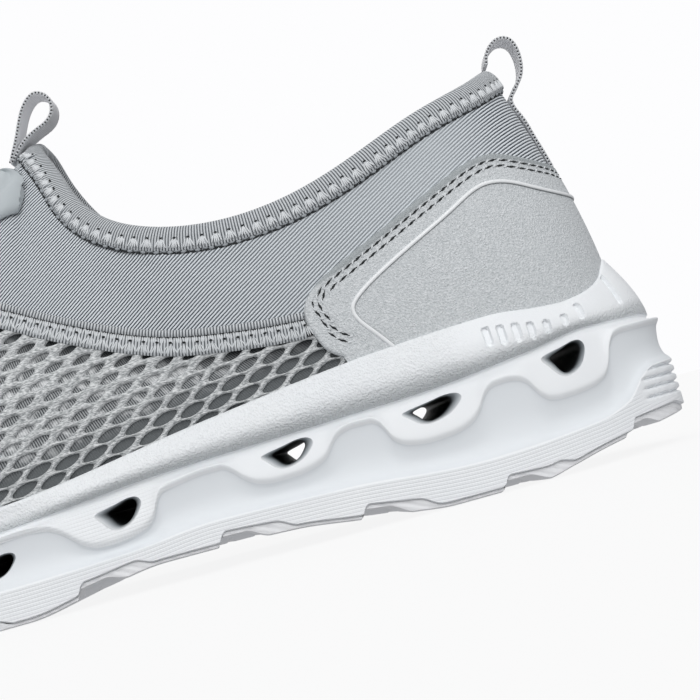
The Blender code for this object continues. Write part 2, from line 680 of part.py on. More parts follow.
def build_seam_binding():
    lateral = [upper_point(LATERAL, *find_on_upper(LATERAL, row))[0] for row in SEAM]
    medial = [upper_point(MEDIAL, *find_on_upper(MEDIAL, row))[0] for row in reversed(SEAM)]
    path, length = smooth_through([*lateral, SEAM_FRONT, *medial])
    frames = []
    for place in path(np.linspace(0, length, 37)):
        side = LATERAL if place[1] >= SEAM_FRONT[1] else MEDIAL
        frames.append(upper_frame(side, *find_on_upper(side, place, (0, 1, 2))))
    finish(strip_on_upper("seam_binding", frames, SEAM_PROFILE, GAP))


def build_collar_binding():
    shares = upper_shares()[:COLLAR_COLUMNS + 1]
    stops = [(LATERAL, share) for share in shares] + [(MEDIAL, share) for share in shares[-2:0:-1]]
    frames = [upper_frame(side, share, 1.0) for side, share in stops]
    edge = np.array([place for place, _ in frames])
    ahead = np.roll(edge, -1, axis=0) - np.roll(edge, 1, axis=0)
    clear = GAP + 0.15
    full, hem = clear + BINDING_THICK, clear + 0.6 * BINDING_THICK
    rings = []
    for (side, share), (place, normal), along in zip(stops, frames, ahead):
        along = along / np.linalg.norm(along)
        normal = normal - along * (normal @ along)
        normal /= np.linalg.norm(normal)
        down = np.cross(normal, along)
        bend, facing = upper_frame(side, *find_on_upper(side, place + down, (0, 1, 2)))
        foot, looking = upper_frame(side, *find_on_upper(side, place + down * BINDING_DEPTH, (0, 1, 2)))
        crown, slot = place - down * full, place - down * clear
        inside = WALL + 0.7 * smoothstep(0.4, THROAT, share)
        rings.append([
            foot + looking * clear, foot + looking * hem, bend + facing * full, crown + normal * 0.2,
            crown - normal * (WALL + 0.2), bend - facing * (WALL + full), foot - looking * (inside + hem),
            foot - looking * (inside + clear), slot - normal * (WALL + clear), slot + normal * clear,
        ])
    finish(swept("collar_binding", rings, closed=True))


def ribbon(name, rows, width, closed):
    """A flat tape of one width along a path in the shoe's middle plane."""
    points = [(station, height) for station, height in rows]
    curve, length = smooth_through(points + points[:1] if closed else points, closed)
    count = 3 * len(points)
    places = np.linspace(0, length, count, endpoint=not closed)
    middle = curve(places)
    if closed:
        ahead = np.roll(middle, -1, axis=0) - np.roll(middle, 1, axis=0)
    else:
        ahead = np.gradient(middle, axis=0)
    ahead /= np.linalg.norm(ahead, axis=1)[:, None]
    out = np.stack([-ahead[:, 1], ahead[:, 0]], axis=1) * TAPE_THICK / 2
    rings = []
    for (station, height), (dx, dz) in zip(middle, out):
        rings.append([(station + dx, -width / 2, height + dz), (station + dx, width / 2, height + dz),
                      (station - dx, width / 2, height - dz), (station - dx, -width / 2, height - dz)])
    finish(swept(name, rings, closed))


def heel_tape_path():
    """The tape's middle line: the loop over the collar, then down the back of the upper."""
    rows = list(HEEL_TAPE)
    for height in HEEL_TAPE_DOWN:
        place, normal = upper_frame(LATERAL, 0.0, rise_at_height(LATERAL, 0.0, height))
        place = place + normal * (GAP + 0.1 + TAPE_THICK / 2)
        rows.append((place[0], place[2]))
    return rows


def build_badge():
    start, end = BADGE_STATIONS
    points, normals = [], []
    for part in np.sin(np.linspace(-pi / 2, pi / 2, 11)):
        span = BADGE_SPAN * (1 - abs(part) ** 5) ** 0.2
        column = []
        for offset in np.linspace(-1, 1, 9) * span:
            station = start + (end - start) * (part + 1) / 2 - BADGE_BOW * (offset / BADGE_SPAN) ** 2
            side = LATERAL if offset >= 0 else MEDIAL
            shift = np.interp(station, [row[0] for row in RIDGE], [row[1] for row in RIDGE])
            column.append(upper_frame(side, *find_on_upper(side, (station, offset + shift), (0, 1))))
        points.append([place for place, _ in column])
        normals.append([normal for _, normal in column])
    shape = np.asarray(points).shape[:2]
    high = np.full(shape, BADGE_LIFT + BADGE_THICK)
    high[:, 0] = high[:, -1] = high[0] = high[-1] = BADGE_LIFT + 0.6 * BADGE_THICK
    finish(walled_patch("instep_badge", points, normals, np.full(shape, BADGE_LIFT), high))


for old in list(bpy.data.objects):
    bpy.data.objects.remove(old)

build_midsole()
build_outsole()
build_insole()
build_upper()
build_heel_counter()
build_counter_piping()
build_seam_binding()
build_collar_binding()
ribbon("heel_pull_tape", heel_tape_path(), HEEL_TAPE_WIDTH, closed=False)
ribbon("front_pull_loop", THROAT_LOOP, THROAT_LOOP_WIDTH, closed=True)
build_badge()
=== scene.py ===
# %% [markdown]
# # A slip-on walking shoe
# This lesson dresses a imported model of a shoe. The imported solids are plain: they give every piece its size
# and its place. Each cell below makes one piece again with its fine shape, and gives it the material that
# the real piece is made of. Sizes are millimetres until a mesh is made, and then they become metres.

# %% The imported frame
from math import cos, pi, radians, sin

import bmesh
import bpy
import numpy as np
from mathutils import Matrix, Vector
from mathutils.kdtree import KDTree


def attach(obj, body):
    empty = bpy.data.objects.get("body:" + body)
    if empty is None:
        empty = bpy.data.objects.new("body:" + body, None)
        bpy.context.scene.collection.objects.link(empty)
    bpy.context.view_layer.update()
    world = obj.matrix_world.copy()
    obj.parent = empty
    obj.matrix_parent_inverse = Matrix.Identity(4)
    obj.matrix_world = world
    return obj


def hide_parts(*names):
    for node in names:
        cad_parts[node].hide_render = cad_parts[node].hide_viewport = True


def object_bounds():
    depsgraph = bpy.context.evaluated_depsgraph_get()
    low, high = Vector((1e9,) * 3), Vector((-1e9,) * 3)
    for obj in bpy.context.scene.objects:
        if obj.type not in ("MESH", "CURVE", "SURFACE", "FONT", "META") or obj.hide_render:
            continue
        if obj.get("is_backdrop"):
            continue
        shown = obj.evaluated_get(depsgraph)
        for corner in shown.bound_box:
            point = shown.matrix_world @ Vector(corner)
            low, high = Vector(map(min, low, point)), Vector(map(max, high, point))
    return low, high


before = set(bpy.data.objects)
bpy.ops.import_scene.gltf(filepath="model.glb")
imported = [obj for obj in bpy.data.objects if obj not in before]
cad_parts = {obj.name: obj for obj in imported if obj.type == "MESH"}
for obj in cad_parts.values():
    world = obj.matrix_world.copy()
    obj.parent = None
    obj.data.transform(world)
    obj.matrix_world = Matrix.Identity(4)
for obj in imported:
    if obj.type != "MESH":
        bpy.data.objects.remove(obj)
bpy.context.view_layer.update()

MM = 0.001
LATERAL, MEDIAL = 1, -1
print("packed nodes:", ", ".join(sorted(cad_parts)))

# %% [markdown]
# ## Camera, floor and light
# The photograph looks at the outer side of the shoe from just above the floor, with the camera rolled so
# that the heel rises to the right. A camera could be aimed by eye, but a long lens hides small errors of
# place, so it is set from a fitted pinhole: where it stands, how it is rolled, and which pixel looks
# straight across.

# %% Camera
FRAME_PIXELS = 700
FOCAL_PIXELS = 1536.0
ACROSS_PIXEL = (357.0, 460.0)
CAMERA_PLACE = (-61.0, 400.0, 16.4)
CAMERA_ROLL = radians(15.2)
SENSOR = 36.0


def photograph_axes():
    """Right, up and forward of the camera that took the picture."""
    level_right, level_up, across = Vector((-1, 0, 0)), Vector((0, 0, 1)), Vector((0, -1, 0))
    right = cos(CAMERA_ROLL) * level_right - sin(CAMERA_ROLL) * level_up
    up = sin(CAMERA_ROLL) * level_right + cos(CAMERA_ROLL) * level_up
    half = FRAME_PIXELS / 2
    forward = across + right * ((half - ACROSS_PIXEL[0]) / FOCAL_PIXELS)
    forward = (forward + up * ((ACROSS_PIXEL[1] - half) / FOCAL_PIXELS)).normalized()
    right = (right - forward * right.dot(forward)).normalized()
    return right, right.cross(forward), forward


def new_object(name, data):
    """An object in the scene, at the origin."""
    item = bpy.data.objects.new(name, data)
    bpy.context.scene.collection.objects.link(item)
    return item


right, up, forward = photograph_axes()
aim = Matrix((right, up, -forward)).transposed().to_4x4()
camera = new_object("camera", bpy.data.cameras.new("camera"))
camera.data.sensor_width = SENSOR
camera.data.lens = SENSOR * FOCAL_PIXELS / FRAME_PIXELS
camera.data.clip_start = 0.01
camera.matrix_world = Matrix.Translation(Vector(CAMERA_PLACE) * MM) @ aim
bpy.context.scene.camera = camera
bpy.context.scene.view_settings.view_transform = "Standard"
print("lens", round(camera.data.lens, 1), "mm")

# %% [markdown]
# One function turns the colours of this lesson, written as sRGB hex, into the linear light that shaders use,
# and one function adds a node with its settings and links. Every material and node tree below uses them.

# %% Colours and nodes


def linear(colour):
    """A hex colour such as c8cccf as linear red, green, blue and alpha."""
    parts = np.array([int(colour[k:k + 2], 16) for k in (0, 2, 4)]) / 255
    light = np.where(parts <= 0.04045, parts / 12.92, ((parts + 0.055) / 1.055) ** 2.4)
    return (*light, 1.0)


def feed(tree, node, inputs):
    """Sets a node's inputs: values, outputs to link, or nodes, which stand for their first output in use."""
    for key, value in inputs.items():
        if isinstance(value, bpy.types.Node):
            value = next(output for output in value.outputs if output.enabled)
        if isinstance(value, bpy.types.NodeSocket):
            tree.links.new(value, node.inputs[key])
        else:
            node.inputs[key].default_value = value
    return node


def add(tree, kind, inputs=None, **settings):
    """A new node with its settings and inputs."""
    node = tree.nodes.new(kind)
    for name, value in settings.items():
        setattr(node, name, value)
    return feed(tree, node, inputs or {})


def colour_stops(ramp, stops):
    """Sets a colour ramp from (place, hex colour) rows: its two ends first, then what lies between."""
    elements = ramp.color_ramp.elements
    for element, (place, colour) in zip(elements, stops[:2]):
        element.position = place
        element.color = linear(colour)
    for place, colour in stops[2:]:
        elements.new(place).color = linear(colour)


def new_material(name, colour, roughness, finish=None):
    """A material with a plain base, its node tree and its shader, for a cell to add detail to."""
    material = bpy.data.materials.new(name)
    material.use_nodes = True
    tree = material.node_tree
    base = {"Base Color": linear(colour), "Roughness": roughness}
    return material, tree, feed(tree, tree.nodes["Principled BSDF"], base | (finish or {}))


print("linear mid grey:", round(linear("808080")[0], 3))

# %% [markdown]
# The picture is a high key one: a white ground, soft light from above the camera, and pale shade underneath.
# White paper under a real lamp turns grey at its far end, so broad suns light it evenly, and the paper glows
# a little, as on a light table. The paper and the backdrop are hidden from the shoe's own bounced light,
# which would wash out the shade under the rim.

# %% Floor, backdrop and soft light
FLOOR_SIZE, FLOOR_DROP = 12.0, 0.0002
BACKDROP_SIDES, BACKDROP_REACH, BACKDROP_LOW = 48, 0.95, -0.1


def stage_piece(name, points, faces, material):
    """A part of the studio that the camera sees and the shoe does not."""
    mesh = bpy.data.meshes.new(name)
    mesh.from_pydata(points, [], faces)
    mesh.materials.append(material)
    piece = new_object(name, mesh)
    piece.visible_diffuse = False
    piece.visible_glossy = False
    piece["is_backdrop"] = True
    return piece


paper, _, _ = new_material("white_paper", "5a5a5a", 0.9, {
    "Specular IOR Level": 0.0, "Emission Color": linear("ffffff"), "Emission Strength": 0.86})
corners = [(-1, -1), (1, -1), (1, 1), (-1, 1)]
corners = [(x * FLOOR_SIZE, y * FLOOR_SIZE, -FLOOR_DROP) for x, y in corners]
stage_piece("floor", corners, [(0, 1, 2, 3)], paper)

glow, _, _ = new_material("lit_backdrop", "000000", 1.0, {
    "Specular IOR Level": 0.0, "Emission Color": linear("fdfdfe"), "Emission Strength": 1.0})
turns = [2 * pi * k / BACKDROP_SIDES for k in range(BACKDROP_SIDES)]
radius = BACKDROP_REACH * FLOOR_SIZE
ring = [(radius * cos(turn), radius * sin(turn)) for turn in turns]
walls = [(k, (k + 1) % BACKDROP_SIDES, (k + 1) % BACKDROP_SIDES + BACKDROP_SIDES, k + BACKDROP_SIDES)
         for k in range(BACKDROP_SIDES)]
rings = [(x, y, z) for z in (BACKDROP_LOW, FLOOR_SIZE) for x, y in ring]
backdrop = stage_piece("backdrop", rings, walls, glow)
backdrop.visible_shadow = False

world = bpy.data.worlds.new("white_studio")
world.use_nodes = True
feed(world.node_tree, world.node_tree.nodes["Background"], {"Color": linear("fbfcff"), "Strength": 0.42})
bpy.context.scene.world = world

SUNS = [  # name, direction that the light comes from, strength, angle across it
    ("key_over_the_camera", (-0.10, 0.95, 0.66), 1.55, 45),
    ("overhead", (0.10, -0.10, 1.0), 0.50, 80),
    ("far_side", (0.30, -0.80, 0.55), 0.50, 70),
]
for name, place, strength, angle in SUNS:
    lamp = bpy.data.lights.new(name, "SUN")
    lamp.energy = strength
    lamp.angle = radians(angle)
    holder = new_object(name, lamp)
    holder.rotation_mode = "QUATERNION"
    holder.rotation_quaternion = (-Vector(place)).to_track_quat("-Z", "Y")
print("suns:", len(SUNS))

# %% [markdown]
# ## The shape that everything follows
# A shoe is drawn round a last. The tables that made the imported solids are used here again, so a fine piece
# lands where its plain solid is; only the edges of the collar, the counter and the badge are drawn finer.
# A *station* is a place along the shoe, counted from the heel. A *run* is a distance round the sole's
# outline from the middle of the heel. A *share* is the same place as a part of half the outline, above zero
# on the outer side of the foot and below zero on the inner side. A *rise* goes from the sole (0) to the
# collar edge or the instep ridge (1).

# %% Smooth curves


class Spline:
    """A smooth curve through points, each at its knot; closed when the last point is the first again."""

    def __init__(self, knots, points, closed=False):
        self.knots = np.asarray(knots, float)
        self.points = np.asarray(points, float)
        self.gaps = np.diff(self.knots)
        count = len(self.knots)
        system = np.zeros((count, count))
        right = np.zeros_like(self.points)
        slopes = np.diff(self.points, axis=0) / self.gaps[:, None]
        for i in range(1, count - 1):
            before, after = self.gaps[i - 1], self.gaps[i]
            system[i, i - 1:i + 2] = before, 2 * (before + after), after
            right[i] = 6 * (slopes[i] - slopes[i - 1])
        system[0, 0] = 1
        system[-1, -1] = 1
        if closed:
            system[0, 0] = 2 * (self.gaps[0] + self.gaps[-1])
            system[0, 1] = self.gaps[0]
            system[0, -2] = self.gaps[-1]
            right[0] = 6 * (slopes[0] - slopes[-1])
            system[-1, 0] = -1
        self.bends = np.linalg.solve(system, right)

    def __call__(self, places):
        places = np.atleast_1d(np.asarray(places, float))
        i = np.clip(np.searchsorted(self.knots, places, side="right") - 1, 0, len(self.gaps) - 1)
        gap = self.gaps[i][:, None]
        ahead = (places - self.knots[i])[:, None]
        behind = gap - ahead
        curve = (self.bends[i] * behind ** 3 + self.bends[i + 1] * ahead ** 3) / (6 * gap)
        curve += (self.points[i] / gap - self.bends[i] * gap / 6) * behind
        return curve + (self.points[i + 1] / gap - self.bends[i + 1] * gap / 6) * ahead


def chord_knots(points):
    """Knots as far apart as the points."""
    steps = np.linalg.norm(np.diff(np.asarray(points, float), axis=0), axis=1)
    return np.concatenate([[0], np.cumsum(steps)])


def smooth_through(points, closed=False):
    """A spline through points and its whole length in knots."""
    knots = chord_knots(points)
    return Spline(knots, points, closed), knots[-1]


def even_path(points, step, closed=False):
    """Points at an even step along a smooth line through the given ones."""
    points = [*points, points[0]] if closed else points
    curve, length = smooth_through(points, closed)
    dense = curve(np.linspace(0, length, 4000))
    places = chord_knots(dense)
    count = max(int(round(places[-1] / step)), 2)
    stops = np.linspace(0, places[-1], count + 1)[:count if closed else None]
    return np.stack([np.interp(stops, places, dense[:, axis]) for axis in range(dense.shape[1])], axis=1)


def profile(rows, level_start=False, level_end=False):
    """A curve through (place, value) rows that never swings past them, level at an end if asked."""
    places, values = np.array(rows, float).T
    steps = np.diff(places)
    slopes = np.diff(values) / steps
    tangents = np.zeros_like(values)
    tangents[0] = 0 if level_start else slopes[0]
    tangents[-1] = 0 if level_end else slopes[-1]
    for i in range(1, len(values) - 1):
        if slopes[i - 1] * slopes[i] > 0:
            tangents[i] = 2 * slopes[i - 1] * slopes[i] / (slopes[i - 1] + slopes[i])

    def at(place):
        place = np.clip(place, places[0], places[-1])
        i = np.clip(np.searchsorted(places, place, side="right") - 1, 0, len(steps) - 1)
        u = (place - places[i]) / steps[i]
        value = values[i] * (1 + 2 * u) * (1 - u) ** 2 + values[i + 1] * u ** 2 * (3 - 2 * u)
        return value + steps[i] * u * (1 - u) * (tangents[i] * (1 - u) - tangents[i + 1] * u)

    return at


def smoothstep(low, high, place):
    """An eased ramp from 0 at low to 1 at high."""
    u = np.clip((place - low) / (high - low), 0, 1)
    return u * u * (3 - 2 * u)


def unit(vectors):
    """Vectors made one long."""
    return vectors / np.linalg.norm(vectors, axis=-1, keepdims=True)


print("half way up an eased ramp:", smoothstep(0, 1, 0.5))

# %% The sole's outline
HEEL_BACK, TOE_FRONT, TOE_SIDE = -1.4, 291.4, -9.0
MIDDLE = (HEEL_BACK + TOE_FRONT) / 2
OUTLINE = [  # station, lateral half width, medial half width
    (5, 19.0, 19.0), (17, 28.8, 28.8), (38, 35.4, 35.2), (70, 37.8, 36.2), (100, 39.0, 34.0),
    (130, 41.6, 34.2), (160, 46.0, 39.5), (185, 49.8, 46.0), (210, 51.2, 50.4), (235, 47.8, 51.2),
    (258, 39.5, 47.6), (277, 26.0, 37.5),
]


def half_outlines(samples=1200):
    """Points, outward normals and runs of the outline, as a dense table for each side."""
    lateral = [(station, wide) for station, wide, _ in OUTLINE]
    medial = [(station, -wide) for station, _, wide in reversed(OUTLINE)]
    loop = [(HEEL_BACK, 0), *lateral, (TOE_FRONT, TOE_SIDE), *medial, (HEEL_BACK, 0)]
    curve, length = smooth_through(loop, closed=True)
    toe = chord_knots(loop)[len(lateral) + 1]
    halves = {}
    for side, end in ((LATERAL, 0.0), (MEDIAL, length)):
        knots = np.linspace(end, toe, samples)
        ahead = unit(curve(np.mod(knots + 0.01, length)) - curve(np.mod(knots - 0.01, length)))
        points = curve(knots)
        halves[side] = (points, np.stack([-ahead[:, 1], ahead[:, 0]], axis=1), chord_knots(points))
    return halves


HALVES = half_outlines()
HALF_RUN = HALVES[LATERAL][2][-1]


def outline_at(side, share):
    """Points, outward normals and runs of one half of the outline at an array of shares."""
    points, normals, runs = HALVES[side]
    place = share * runs[-1]
    point = np.stack([np.interp(place, runs, points[:, axis]) for axis in (0, 1)], axis=-1)
    normal = np.stack([np.interp(place, runs, normals[:, axis]) for axis in (0, 1)], axis=-1)
    return point, unit(normal), share * HALF_RUN


def run_of_station(station):
    """The run at which the outer side passes a station."""
    points, _, runs = HALVES[LATERAL]
    return np.interp(station, points[:, 0], runs)


print("half outline", round(HALF_RUN, 1), "mm")

# %% Heights along the sole, and the lines that end the upper
GAP = 0.35
THROAT = 0.5
GROUND = [  # station, height of the tread: heel bevel, flat heel, arch, flat ball, toe spring
    (-2, 7.6), (14, 5.4), (26, 3.4), (34, 1.6), (42, 0), (64, 0), (74, 1.0), (86, 2.4), (102, 4.4),
    (118, 4.9), (133, 5.0), (151, 2.4), (166, 0), (206, 0), (225, 1.6), (250, 6.5), (275, 12.5), (292, 17),
]
SEAT = [  # station, height of the moulded seat
    (-2, 33), (34, 33), (63, 29.5), (100, 27.8), (140, 24.5), (170, 20.5), (200, 17.5), (225, 17.5),
    (255, 21), (292, 28),
]
FEATHER = [  # run, inset of the upper from the sole's outline
    (0, 11.9), (20, 9.6), (40, 6.2), (60, 5.0), (150, 5.0), (220, 5.5), (300, 7.0), (343, 8.0),
]
COLLAR_OUTER = [  # station, half width, height of the collar's edge on the outer side, from heel to throat
    (24.2, 0, 104.5), (32.0, 19.5, 99.5), (47.5, 26.5, 94.2), (64.4, 29.5, 87.5), (81.2, 31.0, 82.0),
    (99.3, 31.2, 80.0), (111.4, 30.6, 81.3), (120.3, 29.0, 84.0), (128.8, 25.8, 88.9), (136.7, 18.6, 99.4),
    (140.0, 11.0, 108.6), (144.0, 0, 117.8),
]
COLLAR_INNER = [  # the same on the inner side, which stands a little higher beside the throat
    *COLLAR_OUTER[:6], (111.4, 30.6, 81.4), (120.3, 29.0, 85.0), (129.0, 26.6, 91.6), (136.4, 22.6, 100.2),
    (140.6, 16.0, 109.2), (142.6, 8.0, 116.4),
]
RIDGE = [  # station, side shift, height of the instep ridge, from the throat to the toe
    (144, 0, 117.8), (155, 0, 109.2), (170, -0.6, 99.5), (190, -1.8, 88.5), (210, -3.4, 78.0),
    (230, -5.4, 68.0), (250, -7.8, 58.8), (264, -9.4, 52.8),
]
SECTIONS = [  # share, lean at the sole, low reach, forward, outward and down parts at the top, top reach
    (0.00, 0.03, 0.33, 0.00, 0.31, 0.95, 0.33),
    (0.15, 0.08, 0.33, 0.00, 0.26, 0.97, 0.33),
    (0.30, 0.15, 0.33, 0.02, 0.20, 0.98, 0.33),
    (0.38, 0.15, 0.34, 0.12, 0.32, 0.88, 0.31),
    (0.44, 0.14, 0.37, 0.34, 0.54, 0.50, 0.26),
    (0.50, 0.12, 0.41, 0.50, 0.76, 0.00, 0.21),
    (0.57, 0.11, 0.42, 0.30, 0.94, 0.00, 0.22),
    (0.66, 0.10, 0.42, 0.04, 1.00, 0.00, 0.28),
    (0.80, 0.10, 0.40, 0.00, 1.00, 0.00, 0.38),
    (1.00, 0.06, 0.42, 0.00, 1.00, 0.00, 0.46),
]
COLLAR_PACE = [(0, 0), (0.26, 0.19), (0.5, 0.43), (0.7, 0.68), (0.85, 0.88), (1, 1)]  # share, part of line
RIDGE_PACE = [(0, 0), (0.15, 0.09), (0.3, 0.31), (0.5, 0.60), (0.75, 0.86), (1, 1)]

ground_at = profile(GROUND)
seat_at = profile(SEAT)
feather_at = profile(FEATHER, level_start=True, level_end=True)
collar_pace = profile(COLLAR_PACE, level_end=True)
ridge_pace = profile(RIDGE_PACE, level_start=True)
section_at = Spline([row[0] for row in SECTIONS], [row[1:] for row in SECTIONS])
COLLAR_LOOP = COLLAR_OUTER + [(station, -wide, height) for station, wide, height in reversed(COLLAR_INNER)]
COLLAR_LINE, COLLAR_LENGTH = smooth_through(COLLAR_LOOP, closed=True)
COLLAR_TIP = chord_knots(COLLAR_LOOP)[len(COLLAR_OUTER) - 1]
RIDGE_LINE, RIDGE_LENGTH = smooth_through(RIDGE)


def top_at(side, share):
    """Ends of sections: points of the collar edge, or of the instep ridge in front of the throat."""
    start, end = (0.0, COLLAR_TIP) if side == LATERAL else (COLLAR_LENGTH, COLLAR_TIP)
    collar = COLLAR_LINE(start + (end - start) * collar_pace(np.minimum(share / THROAT, 1)))
    place = RIDGE_LENGTH * ridge_pace(np.maximum((share - THROAT) / (1 - THROAT), 0))
    before = RIDGE_LINE(np.maximum(place - 0.5, 0))
    after = RIDGE_LINE(np.minimum(place + 0.5, RIDGE_LENGTH))
    fall = (before[:, 2] - after[:, 2]) / (after[:, 0] - before[:, 0])
    lean = 0.8 * smoothstep(THROAT - 0.14, THROAT, share)
    behind = share <= THROAT
    return np.where(behind[:, None], collar, RIDGE_LINE(place)), np.where(behind, lean, fall)


def upper_grid(side, share, rise):
    """Points of the upper's outer face: a cubic curve at every share, at every rise."""
    point, normal, run = outline_at(side, share)
    low = np.column_stack([point - normal * feather_at(run)[:, None], np.zeros(len(share))])
    low[:, 2] = seat_at(low[:, 0]) + GAP
    top, slope = top_at(side, share)
    lean, low_reach, onward, outward, down, top_reach = section_at(share).T
    length = np.linalg.norm(top - low, axis=1)
    rising = unit(np.column_stack([normal * lean[:, None], np.ones(len(share))]))
    along = outward * normal[:, 0] + onward
    leaving = unit(np.column_stack([along, outward * normal[:, 1], -slope * along - down]))
    low_handle = low + rising * (low_reach * length)[:, None]
    top_handle = top + leaving * (top_reach * length)[:, None]
    u = rise[None, :, None]
    weights = ((1 - u) ** 3, 3 * u * (1 - u) ** 2, 3 * u ** 2 * (1 - u), u ** 3)
    handles = (low, low_handle, top_handle, top)
    return sum(handle[:, None] * weight for handle, weight in zip(handles, weights))


print("collar edge", round(COLLAR_LENGTH, 1), "mm round")

# %% [markdown]
# The upper's skin is worked out once as a fine table, from the toe along the inner side, round the heel and
# back along the outer side. A piece that lies on the upper can then look up a point and the direction that
# the surface faces there, or find the place on the skin that is nearest to a point in space.

# %% The skin of the upper
SKIN_HALF, SKIN_STEPS = 800, 160  # steps of the table along each side, and up
SKIN_SHARES = np.linspace(-1, 1, 2 * SKIN_HALF + 1)
SKIN_RISES = np.linspace(0, 1, SKIN_STEPS + 1)
outer_half = upper_grid(LATERAL, SKIN_SHARES[SKIN_HALF:], SKIN_RISES)
inner_half = upper_grid(MEDIAL, SKIN_SHARES[SKIN_HALF:], SKIN_RISES)
SKIN = np.concatenate([inner_half[:0:-1], outer_half])
SKIN_NORMALS = unit(np.cross(np.gradient(SKIN, axis=1), np.gradient(SKIN, axis=0)) + 1e-9)
in_front = abs(SKIN_SHARES) >= THROAT
SKIN_NORMALS[in_front, -1] = unit(SKIN_NORMALS[in_front, -1] + SKIN_NORMALS[::-1][in_front, -1])
SKIN_NORMALS[0] = SKIN_NORMALS[-1] = unit(SKIN_NORMALS[0] + SKIN_NORMALS[-1])


def skin_at(share, rise):
    """Points and outward normals of the skin at arrays of signed shares and rises."""
    i = np.clip((np.asarray(share, float) + 1) * SKIN_HALF, 0, 2 * SKIN_HALF - 1e-6)
    j = np.clip(np.asarray(rise, float) * SKIN_STEPS, 0, SKIN_STEPS - 1e-6)
    i, j = np.broadcast_arrays(i, j)
    a, b = i.astype(int), j.astype(int)
    u, v = (i - a)[..., None], (j - b)[..., None]

    def mix(table):
        low = table[a, b] * (1 - u) + table[a + 1, b] * u
        return low * (1 - v) + (table[a, b + 1] * (1 - u) + table[a + 1, b + 1] * u) * v

    return mix(SKIN), unit(mix(SKIN_NORMALS))


def rise_at_height(share, height):
    """The rises at which the sections at some shares reach given heights."""
    share, height = np.broadcast_arrays(np.atleast_1d(share), height)
    column = np.clip(np.round((share + 1) * SKIN_HALF).astype(int), 0, 2 * SKIN_HALF)
    return np.array([np.interp(z, SKIN[c, :, 2], SKIN_RISES) for c, z in zip(column, height)])


SKIN_TREE = KDTree(SKIN[::2, ::2].size // 3)
for place, point in enumerate(SKIN[::2, ::2].reshape(-1, 3)):
    SKIN_TREE.insert(point, place)
SKIN_TREE.balance()


def settle(share, rise, targets, axes, rounds=5):
    """Moves places on the skin until the chosen coordinates meet their targets as well as they can."""
    ds, dr = 1e-3, 4e-3
    for _ in range(rounds):
        miss = (targets - skin_at(share, rise)[0])[:, axes]
        by_share = (skin_at(share + ds, rise)[0] - skin_at(share - ds, rise)[0])[:, axes] / (2 * ds)
        by_rise = (skin_at(share, rise + dr)[0] - skin_at(share, rise - dr)[0])[:, axes] / (2 * dr)
        aa, bb = np.sum(by_share ** 2, axis=1), np.sum(by_rise ** 2, axis=1)
        ab, am = np.sum(by_share * by_rise, axis=1), np.sum(by_share * miss, axis=1)
        bm = np.sum(by_rise * miss, axis=1)
        solid = np.maximum(aa * bb - ab ** 2, 1e-3)
        share = np.clip(share + np.clip((am * bb - bm * ab) / solid, -0.01, 0.01), -1, 1)
        rise = np.clip(rise + np.clip((bm * aa - am * ab) / solid, -0.02, 0.02), 0, 1)
    return share, rise


def nearest_on_skin(points):
    """Shares and rises of the places on the skin nearest to points in space."""
    found = np.array([SKIN_TREE.find(point)[1] for point in points])
    column, row = np.divmod(found, SKIN_STEPS // 2 + 1)
    return settle(SKIN_SHARES[::2][column], SKIN_RISES[::2][row], np.asarray(points), [0, 1, 2])


def side_places(side, rows):
    """Shares and rises of (station, height) rows seen from one side."""
    mine = slice(SKIN_HALF, None) if side == LATERAL else slice(SKIN_HALF + 1)
    half, shares = SKIN[mine], SKIN_SHARES[mine]
    targets = np.array([(station, 0, height) for station, height in rows], float)
    starts = []
    for target in targets:
        miss = (half[..., 0] - target[0]) ** 2 + (half[..., 2] - target[2]) ** 2
        starts.append(np.unravel_index(np.argmin(miss), miss.shape))
    starts = np.array(starts)
    return settle(shares[starts[:, 0]], SKIN_RISES[starts[:, 1]], targets, [0, 2])


print("skin table", SKIN.shape[:2])

# %% [markdown]
# A piece is made from grids of points. Neighbouring grids share their edges, so after welding the seams are
# closed. A small function puts a finished mesh on the shoe: it rides on the one body of this model, stands
# for its imported solid, and gets its material.

# %% Grids to meshes, meshes to pieces


def world_points(points):
    """Metres in the shoe's frame, centred on its length."""
    return (np.asarray(points, float) - (MIDDLE, 0, 0)) * MM


def mesh_of(name, grids, maps=None, weld=2e-6, recalculate=True):
    """A mesh from grids of points. maps holds, for each named map, one grid of (u, v) for each grid."""
    points, faces, start = [], [], 0
    for grid in grids:
        index = start + np.arange(grid.shape[0] * grid.shape[1]).reshape(grid.shape[:2])
        corners = (index[:-1, :-1], index[1:, :-1], index[1:, 1:], index[:-1, 1:])
        faces.append(np.stack(corners, axis=-1).reshape(-1, 4))
        points.append(world_points(grid).reshape(-1, 3))
        start += index.size
    mesh = bpy.data.meshes.new(name)
    mesh.from_pydata(np.concatenate(points).tolist(), [], np.concatenate(faces).tolist())
    corner_points = np.zeros(len(mesh.loops), int)
    mesh.loops.foreach_get("vertex_index", corner_points)
    for title, values in (maps or {}).items():
        values = np.concatenate([value.reshape(-1, 2) for value in values])
        uv = values[corner_points].astype(np.float32).ravel()
        mesh.uv_layers.new(name=title).data.foreach_set("uv", uv)
    bm = bmesh.new()
    bm.from_mesh(mesh)
    bmesh.ops.remove_doubles(bm, verts=bm.verts, dist=weld)
    bmesh.ops.dissolve_degenerate(bm, edges=bm.edges, dist=weld)
    if recalculate:
        bmesh.ops.recalc_face_normals(bm, faces=bm.faces)
    bm.to_mesh(mesh)
    bm.free()
    return mesh


def shell_grids(under, over):
    """The grids of a closed sheet between two layers: both faces and the four edges."""
    edges = [np.stack([under[0], over[0]]), np.stack([under[-1], over[-1]]),
             np.stack([under[:, 0], over[:, 0]]), np.stack([under[:, -1], over[:, -1]])]
    return [under, over, *edges]


